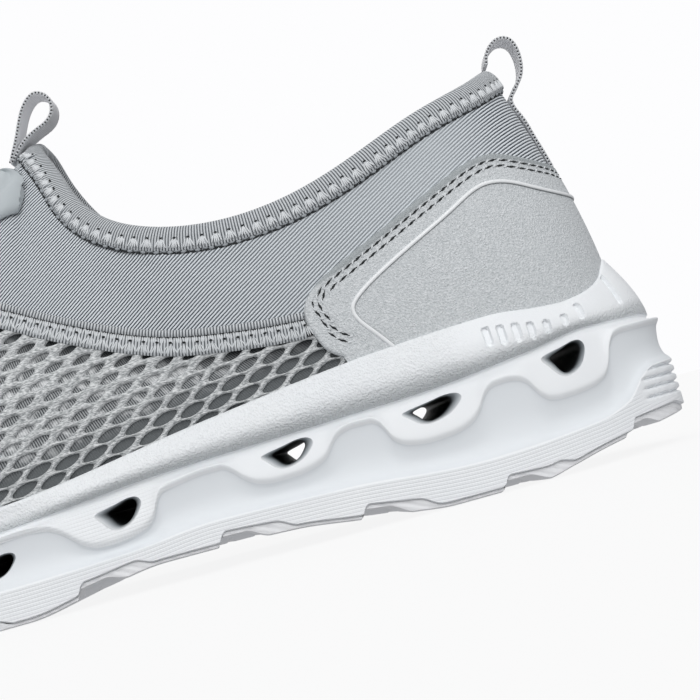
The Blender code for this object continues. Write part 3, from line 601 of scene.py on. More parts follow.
def put_on(name, mesh, material, node, sharp=45):
    """A finished piece: smooth faces with crisp edges, its material and its place in the frame."""
    part = new_object(name, mesh)
    mesh.materials.clear()
    mesh.materials.append(material)
    mesh.shade_smooth()
    mesh.set_sharp_from_angle(angle=radians(sharp))
    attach(part, "root")
    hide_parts(node)
    mesh.calc_loop_triangles()
    print(f"{name}: {len(mesh.loop_triangles)} triangles")
    return part


def plain_mesh(item):
    """The mesh that an object's modifiers make; the object itself is thrown away."""
    made = bpy.data.meshes.new_from_object(item.evaluated_get(bpy.context.evaluated_depsgraph_get()))
    item.modifiers.clear()
    bpy.data.objects.remove(item)
    return made


# %% [markdown]
# ## The moulded sole
# The sole is foam pressed in a steel mould: a ribbed band at the floor, hollow scallops, a raised wave edge,
# and a rolled rim that climbs at the heel. It could be sculpted, but its side is the same list of features
# all the way round, so a profile is worked out at every place along the outline and swept. Corners in
# the middle of the profile are rounded by cutting them twice, as a file would.

# %% Tables of the sole's side
RIM_TOP = [  # run, height
    (0, 50.4), (14, 49.4), (20, 48.0), (28, 44.2), (34, 42.2), (40, 41.0), (46, 40.4), (52, 40.6),
    (64, 41.6), (75, 41.2), (96, 39.8), (136, 34.9), (187, 27.5), (220, 25.8), (255, 27.0), (300, 33.0),
    (343, 38.5),
]
RIM_LOW = [  # run, height
    (0, 32.4), (20, 33.0), (40, 33.0), (58, 30.5), (85, 27.6), (100, 27.0), (152, 25.0), (178, 22.6),
    (200, 21.0), (240, 20.5), (300, 27.0), (343, 34.0),
]
RIM_BULGE = [(0, 0.2), (30, 0.9), (60, 2.7), (165, 2.4), (186, 0.2), (343, 0.2)]  # run, swell of the roll
BAND_TOP = [  # run, top of the ribbed band
    (0, 20.6), (23, 20.0), (28, 18.4), (36, 12.6), (46, 10.0), (74, 8.2), (110, 10.6), (140, 11.3),
    (160, 9.6), (190, 8.6), (230, 9.4), (280, 15.5), (343, 24.5),
]
LINE_BASE = [(0, 14.3), (24, 13.0), (36, 11.4), *BAND_TOP[4:]]  # run, height where the fine lines start
WAVE = [  # station, height of the raised edge that dips under every tunnel, on the outer side
    (-2, 30.3), (12.7, 29.9), (15.2, 29.3), (17.2, 26.9), (19.2, 21.9), (20.8, 20.1), (23.8, 18.9),
    (28.1, 18.2), (32.8, 18.0), (35.3, 18.4), (37.4, 19.9), (40.2, 23.8), (41.9, 24.8), (44.7, 25.3),
    (47.7, 25.1), (50.0, 24.0), (53.2, 19.6), (55.9, 17.6), (59.9, 16.5), (65.8, 16.1), (71.0, 16.8),
    (74.2, 18.6), (76.5, 22.8), (78.6, 24.2), (82.7, 24.3), (85.8, 23.7), (87.5, 22.7), (91.1, 18.7),
    (93.9, 17.5), (98.6, 16.7), (103.5, 16.6), (107.3, 17.2), (109.9, 18.6), (113.5, 22.0), (115.2, 22.9),
    (118.6, 22.9), (126.7, 21.9), (129.3, 21.4), (130.7, 20.3), (133.1, 15.8), (135.5, 14.1), (139.1, 13.1),
    (143.5, 12.6), (146.8, 12.8), (149.8, 14.1), (154.5, 18.2), (157.5, 19.6), (161.5, 20.0), (180, 18.0),
    (212, 16.5), (272, 22.0), (292, 30.5),
]
PILLS = [  # station, low and high end of the slots pressed in the heel's rim
    (46.3, 34.0, 38.9), (42.8, 33.6, 38.5), (39.2, 33.4, 38.1), (35.5, 33.2, 37.4), (31.5, 33.5, 36.9),
    (26.6, 34.3, 37.3), (21.8, 35.0, 39.1), (9.0, 36.5, 46.0),
]
PILL_RADIUS, PILL_DEPTH = 0.95, 1.1
LUG_PITCH, LUG_START = 34.0, 18.0
LIP_LOW, LIP_STEP, LIP_LONG, LIP_WIDTH = 1.0, 2.3, 17.0, 3.0
TREAD_SEAT = 5.0
BAND_LINES, LINE_PITCH, BEAD_PITCH = 7.6, 0.85, 0.7  # how high the fine lines go, and their spacings
HEEL_RIB_TOP, HEEL_RIB_PITCH, HEEL_RIB_DEPTH = 20.4, 2.3, 1.15
BAND_ROWS, ROLL_ROWS = 31, 25
HOLLOW_ROWS, PLATE_ROW = (3, 25), 24  # rows over the band: the hollows, and the first of the plate over them

rim_top_at, rim_low_at, rim_bulge_at, band_top_at, line_base_at = [
    profile(table, True, True) for table in (RIM_TOP, RIM_LOW, RIM_BULGE, BAND_TOP, LINE_BASE)]
wave_runs = [(run_of_station(max(station, HEEL_BACK)), height) for station, height in WAVE]
wave_at = profile(wave_runs, True, True)
print("rim at the heel", RIM_TOP[0][1], "mm high")

# %% One side of the sole


def lip_height(station):
    """Height of the side's lower edge over the tread line: a long notch behind every lug."""
    behind = np.mod(LUG_START - station, LUG_PITCH)
    notch = smoothstep(0, 1.8, behind) * smoothstep(LIP_LONG + 2.0, LIP_LONG - 3.0, behind)
    return LIP_LOW + LIP_STEP * notch * (1.1 - 0.02 * behind)


def heel_ribs(run, height):
    """Depth of the few strong grooves at the corner of the heel."""
    groove = (0.5 - 0.5 * np.cos(2 * pi * (height - HEEL_RIB_TOP) / HEEL_RIB_PITCH)) ** 4
    return HEEL_RIB_DEPTH * groove * smoothstep(31, 27, run) * smoothstep(11.0, 11.6, height)


def pressed_slots(run, height):
    """Depth of the slots in the heel's rim."""
    depth = np.zeros_like(height)
    for station, low, high in PILLS:
        middle = np.clip(height, low + PILL_RADIUS, high - PILL_RADIUS)
        far = np.hypot(run - run_of_station(station), height - middle)
        depth = np.maximum(depth, PILL_DEPTH * smoothstep(PILL_RADIUS + 0.15, PILL_RADIUS - 0.25, far))
    return depth


def round_corners(rows, times):
    """Cuts the corners of a list of (inset, height) rows."""
    for _ in range(times):
        first, second = rows[:-1], rows[1:]
        cut = np.stack([0.75 * first + 0.25 * second, 0.25 * first + 0.75 * second], axis=1)
        rows = np.concatenate([rows[:1], cut.reshape(-1, *rows.shape[1:]), rows[-1:]])
    return rows


def sole_side(side, share):
    """The grid of a side of the sole, and maps: grain and painted rim shade, lines, band place, hollows."""
    point, normal, run = outline_at(side, share)
    rim_top, rim_low = rim_top_at(run), rim_low_at(run)
    inner = skin_at(side * share, rise_at_height(side * share, rim_top))[0]
    foot = skin_at(side * share, 0.0)[0]
    toe = smoothstep(230, 320, run)
    top_inset = np.sum((point - inner[:, :2]) * normal, axis=1) - GAP - 0.4 * toe
    foot_inset = np.sum((point - foot[:, :2]) * normal, axis=1) - GAP - 1.1 * toe
    lip = ground_at(point[:, 0]) + lip_height(point[:, 0])
    band_top = np.maximum(band_top_at(run), lip + 2.0)
    wave = np.maximum(wave_at(run), band_top + 2.5)
    cove = wave - band_top
    tread = ground_at(point[:, 0] - normal[:, 0] * LIP_WIDTH) + TREAD_SEAT
    same = np.ones_like(run)
    edge = [(LIP_WIDTH * same, tread), (LIP_WIDTH * same, lip), (0.9 * same, lip), (0.3 * same, lip + 0.1)]
    band = []
    lowest = ground_at(point[:, 0]) + LIP_LOW
    for part in np.linspace(0, 1, BAND_ROWS):
        height = np.maximum(lowest + 0.35 + (band_top - lowest - 0.5) * part, lip + 0.35 + 0.004 * part)
        band.append((0.05 + heel_ribs(run, height), height))
    shoulder = [(0.15, band_top), (0.5, band_top + 0.06 * cove), (1.6, band_top + 0.18 * cove),
                (2.2, band_top + 0.45 * cove), (1.9, band_top + 0.75 * cove), (1.5, wave - 0.7),
                (1.12, wave - 0.15), (0.7, wave + 0.45), (0.45, wave + 1.2),
                (1.3, 0.5 * (wave + rim_low)), (2.3, rim_low - 1.3), (3.5, rim_low - 0.5), (3.2, rim_low)]
    shoulder = np.array([(inset * same, height) for inset, height in shoulder])
    shoulder = round_corners(shoulder, 2)
    roll = []
    outer = top_inset - 1.9
    for part in np.linspace(0.02, 1, ROLL_ROWS):
        swell = rim_bulge_at(run) * np.sin(pi * part ** 0.75)
        height = rim_low + part * (rim_top - 0.7 - rim_low)
        roll.append((2.9 + (outer - 2.9) * part ** 1.5 - swell + pressed_slots(run, height), height))
    top = [(outer + 0.25, rim_top - 0.3), (outer + 0.8, rim_top - 0.03), (top_inset, rim_top)]
    rows = np.concatenate([edge, band, shoulder, roll, top])
    grid = np.empty((len(share), len(rows) + 1, 3))
    for k, (inset, height) in enumerate(rows):
        grid[:, k, :2] = point - normal * inset[:, None]
        grid[:, k, 2] = height
    seat = point - normal * foot_inset[:, None]
    grid[:, -1] = np.column_stack([seat, seat_at(seat[:, 0])])
    rough, lined, hollow = np.zeros((3, *grid.shape[:2]))
    first = len(edge) + len(band)
    rolled = slice(first + len(shoulder), None)
    upward = (grid[:, rolled, 2] - rim_low[:, None]) / (rim_top - rim_low)[:, None]
    # One mask sets the roll's grain and its painted shade, both strongest where the roll faces down.
    rough[:, rolled] = 1.0 - (0.5 + 0.4 * smoothstep(80, 68, run))[:, None] * smoothstep(0.05, 0.5, upward)
    height = grid[:, len(edge):first, 2]
    fine = smoothstep(BAND_LINES + 0.6, BAND_LINES - 0.4, height - lowest[:, None])
    fine *= 1 - smoothstep(34, 30, run)[:, None] * smoothstep(10.5, 11.2, height)
    lined[:, len(edge):first] = fine
    lined[:, first + PLATE_ROW:first + len(shoulder)] = smoothstep(146, 151, run)[:, None]
    skin = np.stack([rough, lined], axis=-1)
    over_base = grid[..., 2] - line_base_at(run)[:, None]
    hollow[:, first + HOLLOW_ROWS[0]:first + HOLLOW_ROWS[1]] = 1.0
    band_map = np.stack([run[:, None] * np.ones_like(over_base), over_base], axis=-1)
    return grid, skin, band_map, np.stack([np.zeros_like(hollow), hollow], axis=-1)


def ladder(left, right, across, height_at, lift=0.0):
    """A grid from one line to another, each point at the height of its station."""
    grid = left[:, None] + (right - left)[:, None] * across[None, :, None]
    grid[..., 2] = height_at(grid[..., 0]) + lift
    return grid


print("lip over the tread line", lip_height(np.array([LUG_START, LUG_START - 6])).round(2), "mm")

# %% [markdown]
# The foam has one material all over, and three maps on the mesh steer it: how pebbled and how lined the skin
# is, where a point lies on the ribbed band, and how deep in a hollow or a tunnel it lies. The first and the
# last also
# paint shade: under the rim's roll, in the hollows and down the tunnels. A painted picture could do this for
# one view only. The Wave texture makes 20 waves in 2 pi of its space, so one line of arithmetic turns a
# spacing in millimetres into its scale.

# %% Foam material


def wave_scale(spacing):
    """The Wave texture's scale for a spacing of its stripes."""
    return 2 * pi / 20 / spacing


foam, tree, shader = new_material("moulded_foam", "f1f3f5", 0.5, {
    "Subsurface Weight": 0.08, "Subsurface Radius": (0.004, 0.004, 0.004)})
# Pressed EVA foam has a dull satin skin; the rolled rim has a pebbled mould texture of about half a
# millimetre.
where = add(tree, "ShaderNodeTexCoord").outputs["Object"]
skin = add(tree, "ShaderNodeSeparateXYZ", {0: add(tree, "ShaderNodeUVMap", uv_map="skin")}).outputs
pebbles = add(tree, "ShaderNodeTexVoronoi", {"Vector": where, "Scale": 1.9 / MM}, feature="F1")
wrinkles = add(tree, "ShaderNodeTexNoise", {"Vector": where, "Scale": 1.3 / MM, "Detail": 2.0})
leather = add(tree, "ShaderNodeMath", {0: pebbles, 1: wrinkles})
leather = add(tree, "ShaderNodeMath", {0: leather, 1: skin["X"]}, operation="MULTIPLY")
lie = add(tree, "ShaderNodeUVMap", uv_map="band")
lines = add(tree, "ShaderNodeTexWave", {"Vector": lie, "Scale": wave_scale(LINE_PITCH)}, bands_direction="Y")
beads = add(tree, "ShaderNodeTexWave", {"Vector": lie, "Scale": wave_scale(BEAD_PITCH), "Distortion": 1.0},
            bands_direction="X")
crisp = add(tree, "ShaderNodeMapRange", {"Value": lines.outputs["Fac"], "From Min": 0.05, "From Max": 0.45})
strung = add(tree, "ShaderNodeMath", {0: beads.outputs["Fac"], 1: 0.12, 2: crisp}, operation="MULTIPLY_ADD")
strung = add(tree, "ShaderNodeMath", {0: strung, 1: skin["Y"]}, operation="MULTIPLY")
bump = add(tree, "ShaderNodeBump", {"Height": leather, "Strength": 1.0, "Distance": 0.4 * MM})
bump = add(tree, "ShaderNodeBump", {"Height": strung, "Strength": 0.34, "Distance": 0.2 * MM,
           "Normal": bump})

bloom = add(tree, "ShaderNodeTexNoise", {"Vector": where, "Scale": 0.045 / MM, "Detail": 4.0})
tint = add(tree, "ShaderNodeMix", {"Factor": bloom, 6: linear("eef1f4"), 7: linear("f7f9fa")},
           data_type="RGBA")
deep = add(tree, "ShaderNodeSeparateXYZ", {0: add(tree, "ShaderNodeUVMap", uv_map="depth")}).outputs
# Painted shade: the hollows under the raised wave edge are tinted a little darker.
tint = add(tree, "ShaderNodeMix", {"Factor": deep["Y"], 6: tint, 7: linear("e9edf0")}, data_type="RGBA")
# Painted shade: the lower part of the rolled rim, which faces down, is greyed by the grain's map.
painted_rim_shade = add(tree, "ShaderNodeMapRange", {"Value": skin["X"], "From Min": 0.5})
tint = add(tree, "ShaderNodeMix", {"Factor": painted_rim_shade, 6: tint, 7: linear("d0d4d6")}, data_type="RGBA")
# Painted shade: the foam turns nearly black the deeper a point lies in a tunnel.
inside = add(tree, "ShaderNodeMapRange", {"Value": deep["X"], "From Max": 10.0})
painted_tunnel_shade = add(tree, "ShaderNodeValToRGB", {"Fac": inside})
colour_stops(painted_tunnel_shade, [(0.14, "ffffff"), (0.92, "0d0f10"), (0.3, "c6cacc"), (0.46, "8a8e91"),
                     (0.62, "3c3f41")])
tint = add(tree, "ShaderNodeMix", {"Factor": 1.0, 6: tint, 7: painted_tunnel_shade}, data_type="RGBA",
           blend_type="MULTIPLY")
feed(tree, shader, {"Base Color": tint, "Normal": bump})
print("moulded foam:", len(tree.nodes), "nodes")

# %% [markdown]
# ## Windows through the sole
# Five tunnels pass right through the foam. Each is a half moon with a flat top, and it flares where it meets
# the side. A Boolean cuts them all at once. The cutter carries a map of its own depth, because the real
# tunnels look nearly black a few millimetres in, and the foam's colour darkens by that map: painted shade.

# %% Cut and dress the sole
WINDOWS = [  # station, height, length, tallness of each tunnel's mouth
    (28.6, 26.9, 11.9, 7.9), (63.4, 23.2, 15.0, 5.6), (99.1, 22.1, 12.8, 5.8), (140.3, 18.8, 11.0, 6.5),
    (170.5, 14.2, 11.5, 5.6),
]
WINDOW_OUTLINE = [  # along and up, as parts of length and tallness: flat top, round belly, a tip in front
    (0.5, 0.14), (0.32, 0.27), (0.0, 0.4), (-0.28, 0.5), (-0.44, 0.46), (-0.51, 0.28), (-0.43, 0.0),
    (-0.28, -0.26), (-0.08, -0.45), (0.13, -0.5), (0.31, -0.3), (0.43, -0.05),
]
WINDOW_EXITS = [(6.0, 0.0), (3.0, 0.4), (-1.0, 0.6), (-4.0, 0.0), (-4.0, 0.0)]  # shift of each far end
WINDOW_RINGS = [  # place outward of the outline, and the mouth's growth in length and in tallness
    (5.0, 1.5, 1.5), (0.0, 1.15, 1.15), (-1.2, 1.05, 1.05), (-2.2, 0.93, 0.98), (-3.2, 0.81, 0.92),
    (-4.4, 0.7, 0.87), (-6.0, 0.63, 0.83), (-8.0, 0.62, 0.8),
]


def window_grid(window, exit_shift):
    """The flared skin of one tunnel, ring by ring from side to side, and how deep every ring lies."""
    station, height, length, tall = window
    shape = even_path(WINDOW_OUTLINE, 0.06, closed=True)
    shape = np.concatenate([shape, shape[:1]]) * (length, tall)
    ends = [np.interp(station, HALVES[side][0][:, 0], HALVES[side][0][:, 1]) for side in (LATERAL, MEDIAL)]
    stops = [(ends[0] + out, (long, high), 0.0) for out, long, high in WINDOW_RINGS]
    stops += [(ends[1] - out, (long, high), 1.0) for out, long, high in reversed(WINDOW_RINGS)]
    rings, depths = [], []
    for place, grow, far in [(stops[0][0], (0, 0), 0.0), *stops, (stops[-1][0], (0, 0), 1.0)]:
        middle = np.array([station, height]) + far * np.array(exit_shift)
        ring = middle + shape * grow
        rings.append(np.column_stack([ring[:, 0], np.full(len(ring), place), ring[:, 1]]))
        depths.append(np.tile([max(min(ends[0] - place, place - ends[1]), 0.0), 0.0], (len(ring), 1)))
    return np.array(rings), np.array(depths)


stretches = [(0, 36, 84), (36, 69, 104), (69, 190, 132), (190, HALF_RUN, 50)]  # from run, to run, columns
columns = np.unique(np.concatenate([np.linspace(*stretch) for stretch in stretches]))
shares = columns / HALF_RUN
outer_side, outer_skin, outer_band, outer_hollow = sole_side(LATERAL, shares)
inner_side, inner_skin, inner_band, inner_hollow = sole_side(MEDIAL, shares)
across = np.linspace(0, 1, 9)
seat = ladder(outer_side[:, -1], inner_side[:, -1], across, seat_at)
tread = ladder(outer_side[:, 0], inner_side[:, 0], across, ground_at, TREAD_SEAT)
plain = [np.zeros((*grid.shape[:2], 2)) for grid in (seat, tread)]
sole_mesh = mesh_of("midsole_foam", [outer_side, inner_side, seat, tread], {
    "skin": [outer_skin, inner_skin, *plain], "band": [outer_band, inner_band, *plain],
    "depth": [outer_hollow, inner_hollow, *plain]})
sole_mesh.materials.append(foam)

tunnels, depths = zip(*[window_grid(*pair) for pair in zip(WINDOWS, WINDOW_EXITS)])
nothing = [np.zeros_like(depth) for depth in depths]
cutter_mesh = mesh_of("tunnels", tunnels, {"skin": nothing, "band": nothing, "depth": depths})
cutter_mesh.materials.append(foam)
holder = new_object("sole_holder", sole_mesh)
cutter = new_object("tunnels", cutter_mesh)
cut = holder.modifiers.new("tunnels", "BOOLEAN")
cut.operation = "DIFFERENCE"
cut.solver = "EXACT"
cut.object = cutter
finished = plain_mesh(holder)
bpy.data.objects.remove(cutter)
finished.name = "midsole_foam"
put_on("midsole_foam", finished, foam, "midsole", sharp=38)

# %% [markdown]
# ## Where the upper's panels meet
# The upper is sewn from three layers: stretch fabric round the ankle, an open net over the forefoot, and a
# ribbed lining behind both. A seam divides the outer two. It is a smooth line through a few measured places
# on each side, and it crosses the instep; the panels below take their edges from it.

# %% The seam line
SEAM = [  # station, height of the middle of the seam tape on each side
    (87.6, 50.6), (97.0, 51.2), (108.0, 52.6), (118.0, 54.4), (131.0, 58.6), (146.0, 65.6), (157.0, 71.6),
    (170.0, 78.0), (181.0, 83.2),
]
SEAM_FRONT = (193.0, -2.0, 86.9)  # station, side and height where it crosses the ridge

seam_sides = [skin_at(*side_places(side, SEAM))[0] for side in (LATERAL, MEDIAL)]
seam_points = even_path([*seam_sides[0], SEAM_FRONT, *seam_sides[1][::-1]], 0.6)
seam_share, seam_rise = nearest_on_skin(seam_points)
front_share = np.max(seam_share[seam_rise > 0.97])


def panel_edge(share, tuck):
    """Rise of the seam line at each share, moved up or down by a tuck in millimetres."""
    edge = np.empty_like(share)
    for side in (LATERAL, MEDIAL):
        mine = seam_share * side > 0
        order = np.argsort(seam_share[mine] * side)
        line = np.interp(share * side, seam_share[mine][order] * side, seam_rise[mine][order])
        edge = np.where(share * side >= 0, line, edge)
    edge = np.where(abs(share) >= front_share, 1.0, edge)
    section = np.linalg.norm(skin_at(share, 1.0)[0] - skin_at(share, 0.0)[0], axis=-1)
    return np.clip(edge + tuck / section, 0, 1)


print("the seam crosses the instep at share", round(front_share, 3))

# %% [markdown]
# ## Stretch fabric
# The ankle panel is a double-knit with fine ribs on the bias: about 0.7 mm from rib to rib, climbing toward
# the heel, and steeper near the throat. A picture of ribs could be wrapped round it, but then they would not
# bend with the shoe. Instead the panel's own map carries, in millimetres, how far each point lies across the
# ribs, and a wave in the material does the rest. Creases are pressed in where the ankle bends.

# %% Stretch fabric material
FABRIC_RIB = 0.72
stretch, tree, shader = new_material("bias_ribbed_knit", "a4aab0", 0.75, {
    "Sheen Weight": 0.25, "Sheen Roughness": 0.4, "Specular IOR Level": 0.3})
# A polyester knit is matt with a faint silvery sheen; ribs catch the light and their valleys stay dark.
lie = add(tree, "ShaderNodeUVMap", uv_map="ribs")
ribs_wave = add(tree, "ShaderNodeTexWave", {"Vector": lie, "Scale": wave_scale(FABRIC_RIB),
                "Distortion": 0.6, "Detail": 1.0, "Detail Scale": 1.5}, bands_direction="Y").outputs["Fac"]
yarn = add(tree, "ShaderNodeMapping", {"Vector": lie, "Scale": (3.2, 1.2, 1.0)})
stitches_noise = add(tree, "ShaderNodeTexNoise", {"Vector": yarn, "Scale": 1.0, "Detail": 3.0})
light_rib = add(tree, "ShaderNodeValToRGB", {"Fac": ribs_wave})
colour_stops(light_rib, [(0.17, "31373e"), (0.62, "e6ebef")])
speck = add(tree, "ShaderNodeMix", {"Factor": stitches_noise, 6: light_rib, 7: linear("c4c9ce")},
            data_type="RGBA", blend_type="OVERLAY")
# Over the ankle the knit is pulled tight and its ribs nearly close up; at the heel and in front they open.
run = add(tree, "ShaderNodeSeparateXYZ", {0: lie}).outputs["X"]
at_heel = add(tree, "ShaderNodeMapRange", {"Value": run, "From Min": 52.0, "From Max": 30.0})
ahead = add(tree, "ShaderNodeMapRange", {"Value": run, "From Min": 62.0, "From Max": 125.0})
slack = add(tree, "ShaderNodeMath", {0: at_heel, 1: ahead}, operation="MAXIMUM")
slack = add(tree, "ShaderNodeMapRange", {"Value": slack, "To Min": 0.42, "To Max": 1.0})
tint = add(tree, "ShaderNodeMix", {"Factor": slack, 6: linear("ced4d8"), 7: speck}, data_type="RGBA")
bump = add(tree, "ShaderNodeBump", {"Height": ribs_wave, "Strength": 0.7, "Distance": 0.3 * MM})
feed(tree, shader, {"Base Color": tint, "Normal": bump})
print("ribbed knit:", len(tree.nodes), "nodes")

# %% Stretch fabric panel
RIB_ANGLES = [  # station, how steeply the ribs climb toward the heel, in degrees
    (-2, 24), (26, 26), (36, 30), (60, 31.5), (95, 32), (115, 34), (132, 37), (150, 40), (200, 42),
]
CREASES = [  # station, height, slant in degrees, length, width, depth
    (127.0, 82.0, 62, 16, 2.6, 0.45), (133.5, 88.0, 66, 18, 2.8, 0.4), (121.0, 74.5, 48, 13, 2.4, 0.35),
    (101.0, 70.0, 8, 22, 3.0, 0.3), (60.0, 80.0, -24, 26, 3.2, 0.25),
]
STRETCH_THICK = 1.1
RIB_STATIONS = np.linspace(-2, 200, 400)
rib_climb = np.tan(np.radians(profile(RIB_ANGLES)(RIB_STATIONS)))
RIB_CLIMB = np.concatenate([[0], np.cumsum(rib_climb[1:] * np.diff(RIB_STATIONS))])
RIB_COSINE = cos(radians(33))  # of their usual climb


def crease_depth(points):
    """How far the fabric sinks at each point, on both sides of the shoe."""
    depth = np.zeros(points.shape[:-1])
    for station, height, slant, length, width, deep in CREASES:
        ahead, above = points[..., 0] - station, points[..., 2] - height
        along = ahead * cos(radians(slant)) + above * sin(radians(slant))
        beside = above * cos(radians(slant)) - ahead * sin(radians(slant))
        trough = np.exp(-(beside / width) ** 2) - 0.45 * np.exp(-((beside - 2 * width) / width) ** 2)
        depth += deep * trough * smoothstep(length, 0.3 * length, abs(along) * 2)
    return depth


def rib_map(share, points, normals):
    """Millimetres along the shoe and across the ribs; the way over the flat instep counts as height."""
    run = abs(share)[:, None] * HALF_RUN * np.ones(points.shape[1])
    climb = np.interp(points[..., 0], RIB_STATIONS, RIB_CLIMB)
    steps = np.diff(points, axis=1)
    flat_part = smoothstep(0.55, 0.9, normals[:, 1:, 2])
    climbed = np.hypot(steps[..., 2], flat_part * steps[..., 1])
    height = points[:, :1, 2] + np.pad(np.cumsum(climbed, axis=1), ((0, 0), (1, 0)))
    return np.stack([run, RIB_COSINE * (height + climb)], axis=-1)


share = np.linspace(-front_share, front_share, 301)
part = np.linspace(0, 1, 46)
rise = panel_edge(share, -2.0)[:, None] * (1 - part) + part
points, normals = skin_at(share[:, None] * np.ones_like(part), rise)
swell = 0.35 * np.sin(pi * part)[None, :] - crease_depth(points)
over = points + normals * np.clip(swell, -0.6, 0.5)[..., None]
under = points - normals * STRETCH_THICK
behind = abs(share) <= THROAT
sheets = shell_grids(under, over)
sheets[5] = sheets[5][:, behind]
ribbed = rib_map(share, points, normals)
flat = [ribbed, ribbed] + [np.zeros((*sheet.shape[:2], 2)) for sheet in sheets[2:]]
put_on("stretch_fabric", mesh_of("stretch_fabric", sheets, {"ribs": flat}), stretch, "upper", sharp=60)

# %% [markdown]
# ## Lining
# Behind the net lies a darker lining with ribs of about 0.6 mm. It is the inner wall of the shoe: one
# skin from the sole to the collar, offset inward and given its thickness by a Solidify modifier.

# %% Lining material and piece
LINING_RIB = 0.62
lining, tree, shader = new_material("ribbed_lining_mesh", "7d8184", 0.85)
# Warp-knit lining: dull and striped by its own ribs, with a few painted highlights where yarn catches the
# light. It is in deeper painted shade behind the seam and low down, and plain round the ankle, where no net
# shows it.
lie = add(tree, "ShaderNodeUVMap", uv_map="ribs")
stripes = add(tree, "ShaderNodeTexWave", {"Vector": lie, "Scale": wave_scale(LINING_RIB), "Distortion": 1.0,
              "Detail": 1.0}, bands_direction="X").outputs["Fac"]
glint_noise = add(tree, "ShaderNodeTexNoise", {"Vector": lie, "Scale": 0.24, "Detail": 3.0})
painted_glints = add(tree, "ShaderNodeMapRange", {"Value": glint_noise, "From Min": 0.5, "From Max": 0.66})
level = add(tree, "ShaderNodeSeparateXYZ", {0: add(tree, "ShaderNodeUVMap", uv_map="levels")}).outputs
low = add(tree, "ShaderNodeMapRange", {"Value": level["X"], "From Min": 9.5, "From Max": 5.0})
high = add(tree, "ShaderNodeMapRange", {"Value": level["Y"], "From Min": 9.0, "From Max": 4.0})
ankle = add(tree, "ShaderNodeMapRange", {"Value": level["Y"], "From Min": -1.0, "From Max": -5.0})
tint = add(tree, "ShaderNodeMix", {"Factor": stripes, 6: linear("3a3e41"), 7: linear("b9bcbe")},
           data_type="RGBA")
for factor, colour, blend in ((painted_glints, "e6e8e9", "SCREEN"), (low, "696d6f", "MIX"),
                              (high, "55595b", "MULTIPLY"), (ankle, "8b8f92", "MIX")):
    tint = add(tree, "ShaderNodeMix", {"Factor": factor, 6: tint, 7: linear(colour)}, data_type="RGBA",
               blend_type=blend)
bump = add(tree, "ShaderNodeBump", {"Height": stripes, "Strength": 0.6, "Distance": 0.25 * MM})
feed(tree, shader, {"Base Color": tint, "Normal": bump})

NET_SLANT = radians(18.8)
LINING_DEPTH, LINING_THICK = 1.55, 0.75
share = np.linspace(-1, 1, 281)
rise = np.linspace(0, 1, 46)
points, normals = skin_at(share[:, None] * np.ones_like(rise), rise[None, :] * np.ones((len(share), 1)))
points = points - normals * LINING_DEPTH
along = abs(share)[:, None] * HALF_RUN * cos(NET_SLANT) - points[..., 2] * sin(NET_SLANT)
lining_map = np.stack([along, points[..., 2]], axis=-1)
over_rim = points[..., 2] - rim_top_at(abs(share) * HALF_RUN)[:, None]
section = np.linalg.norm(points[:, -1] - points[:, 0], axis=1)
under_seam = (panel_edge(share, 0.0)[:, None] - rise[None]) * section[:, None]
maps = {"ribs": [lining_map], "levels": [np.stack([over_rim, under_seam], axis=-1)]}
wall = new_object("lining_wall", mesh_of("lining", [points], maps, weld=2e-4, recalculate=False))
thicken = wall.modifiers.new("wall", "SOLIDIFY")
thicken.thickness = LINING_THICK * MM
thicken.offset = -1.0
put_on("lining", plain_mesh(wall), lining, "upper", sharp=60)

# %% [markdown]
# ## The open net
# The forefoot is a knitted net: lens-shaped holes 5 to 7 mm long and about 2 mm wide, in a leaning diamond
# lattice. Holes painted on a surface look flat from near by, so these are real. The panel is first unwrapped
# flat with little stretch. Geometry Nodes then lay one small cell of net over that flat plan again and
# again, and look up, for each corner, the place on the curved panel that has the same flat coordinates.

# %% The panel, unwrapped flat
NET_LONG, NET_CROSS, NET_LEAN = 11.5, 4.07, radians(111)
NET_REAR_RUN = 76.0
NET_OPEN = 0.36


def net_half(side):
    """One half of the net's panel, from under the sole's rim to the seam or the instep ridge."""
    share = np.linspace(NET_REAR_RUN / HALF_RUN, 1, 151) * side
    part = np.linspace(0, 1, 45)
    foot = rise_at_height(share, rim_top_at(abs(share) * HALF_RUN) - 6.0)
    top = np.maximum(panel_edge(share, 1.0), foot)
    rise = foot[:, None] * (1 - part) + top[:, None] * part
    points = skin_at(share[:, None] * np.ones_like(part), rise)[0]
    wide = smoothstep(17, 4, points[..., 2] - rim_top_at(abs(share) * HALF_RUN)[:, None])
    return points, np.stack([wide, wide], axis=-1)


outer_net, outer_wide = net_half(LATERAL)
inner_net, inner_wide = net_half(MEDIAL)
widths = [outer_wide, inner_wide[:, ::-1]]
panel_mesh = mesh_of("net_panel", [outer_net, inner_net[:, ::-1]], {
    "flat": [np.zeros_like(wide) for wide in widths], "wide": widths}, weld=1e-5)
panel_mesh.uv_layers.active = panel_mesh.uv_layers["flat"]
panel = new_object("net_panel", panel_mesh)
bpy.context.view_layer.objects.active = panel
bpy.ops.object.mode_set(mode="EDIT")
bpy.ops.mesh.select_all(action="SELECT")
bpy.ops.uv.unwrap(method="CONFORMAL", margin=0.0)
bpy.ops.object.mode_set(mode="OBJECT")

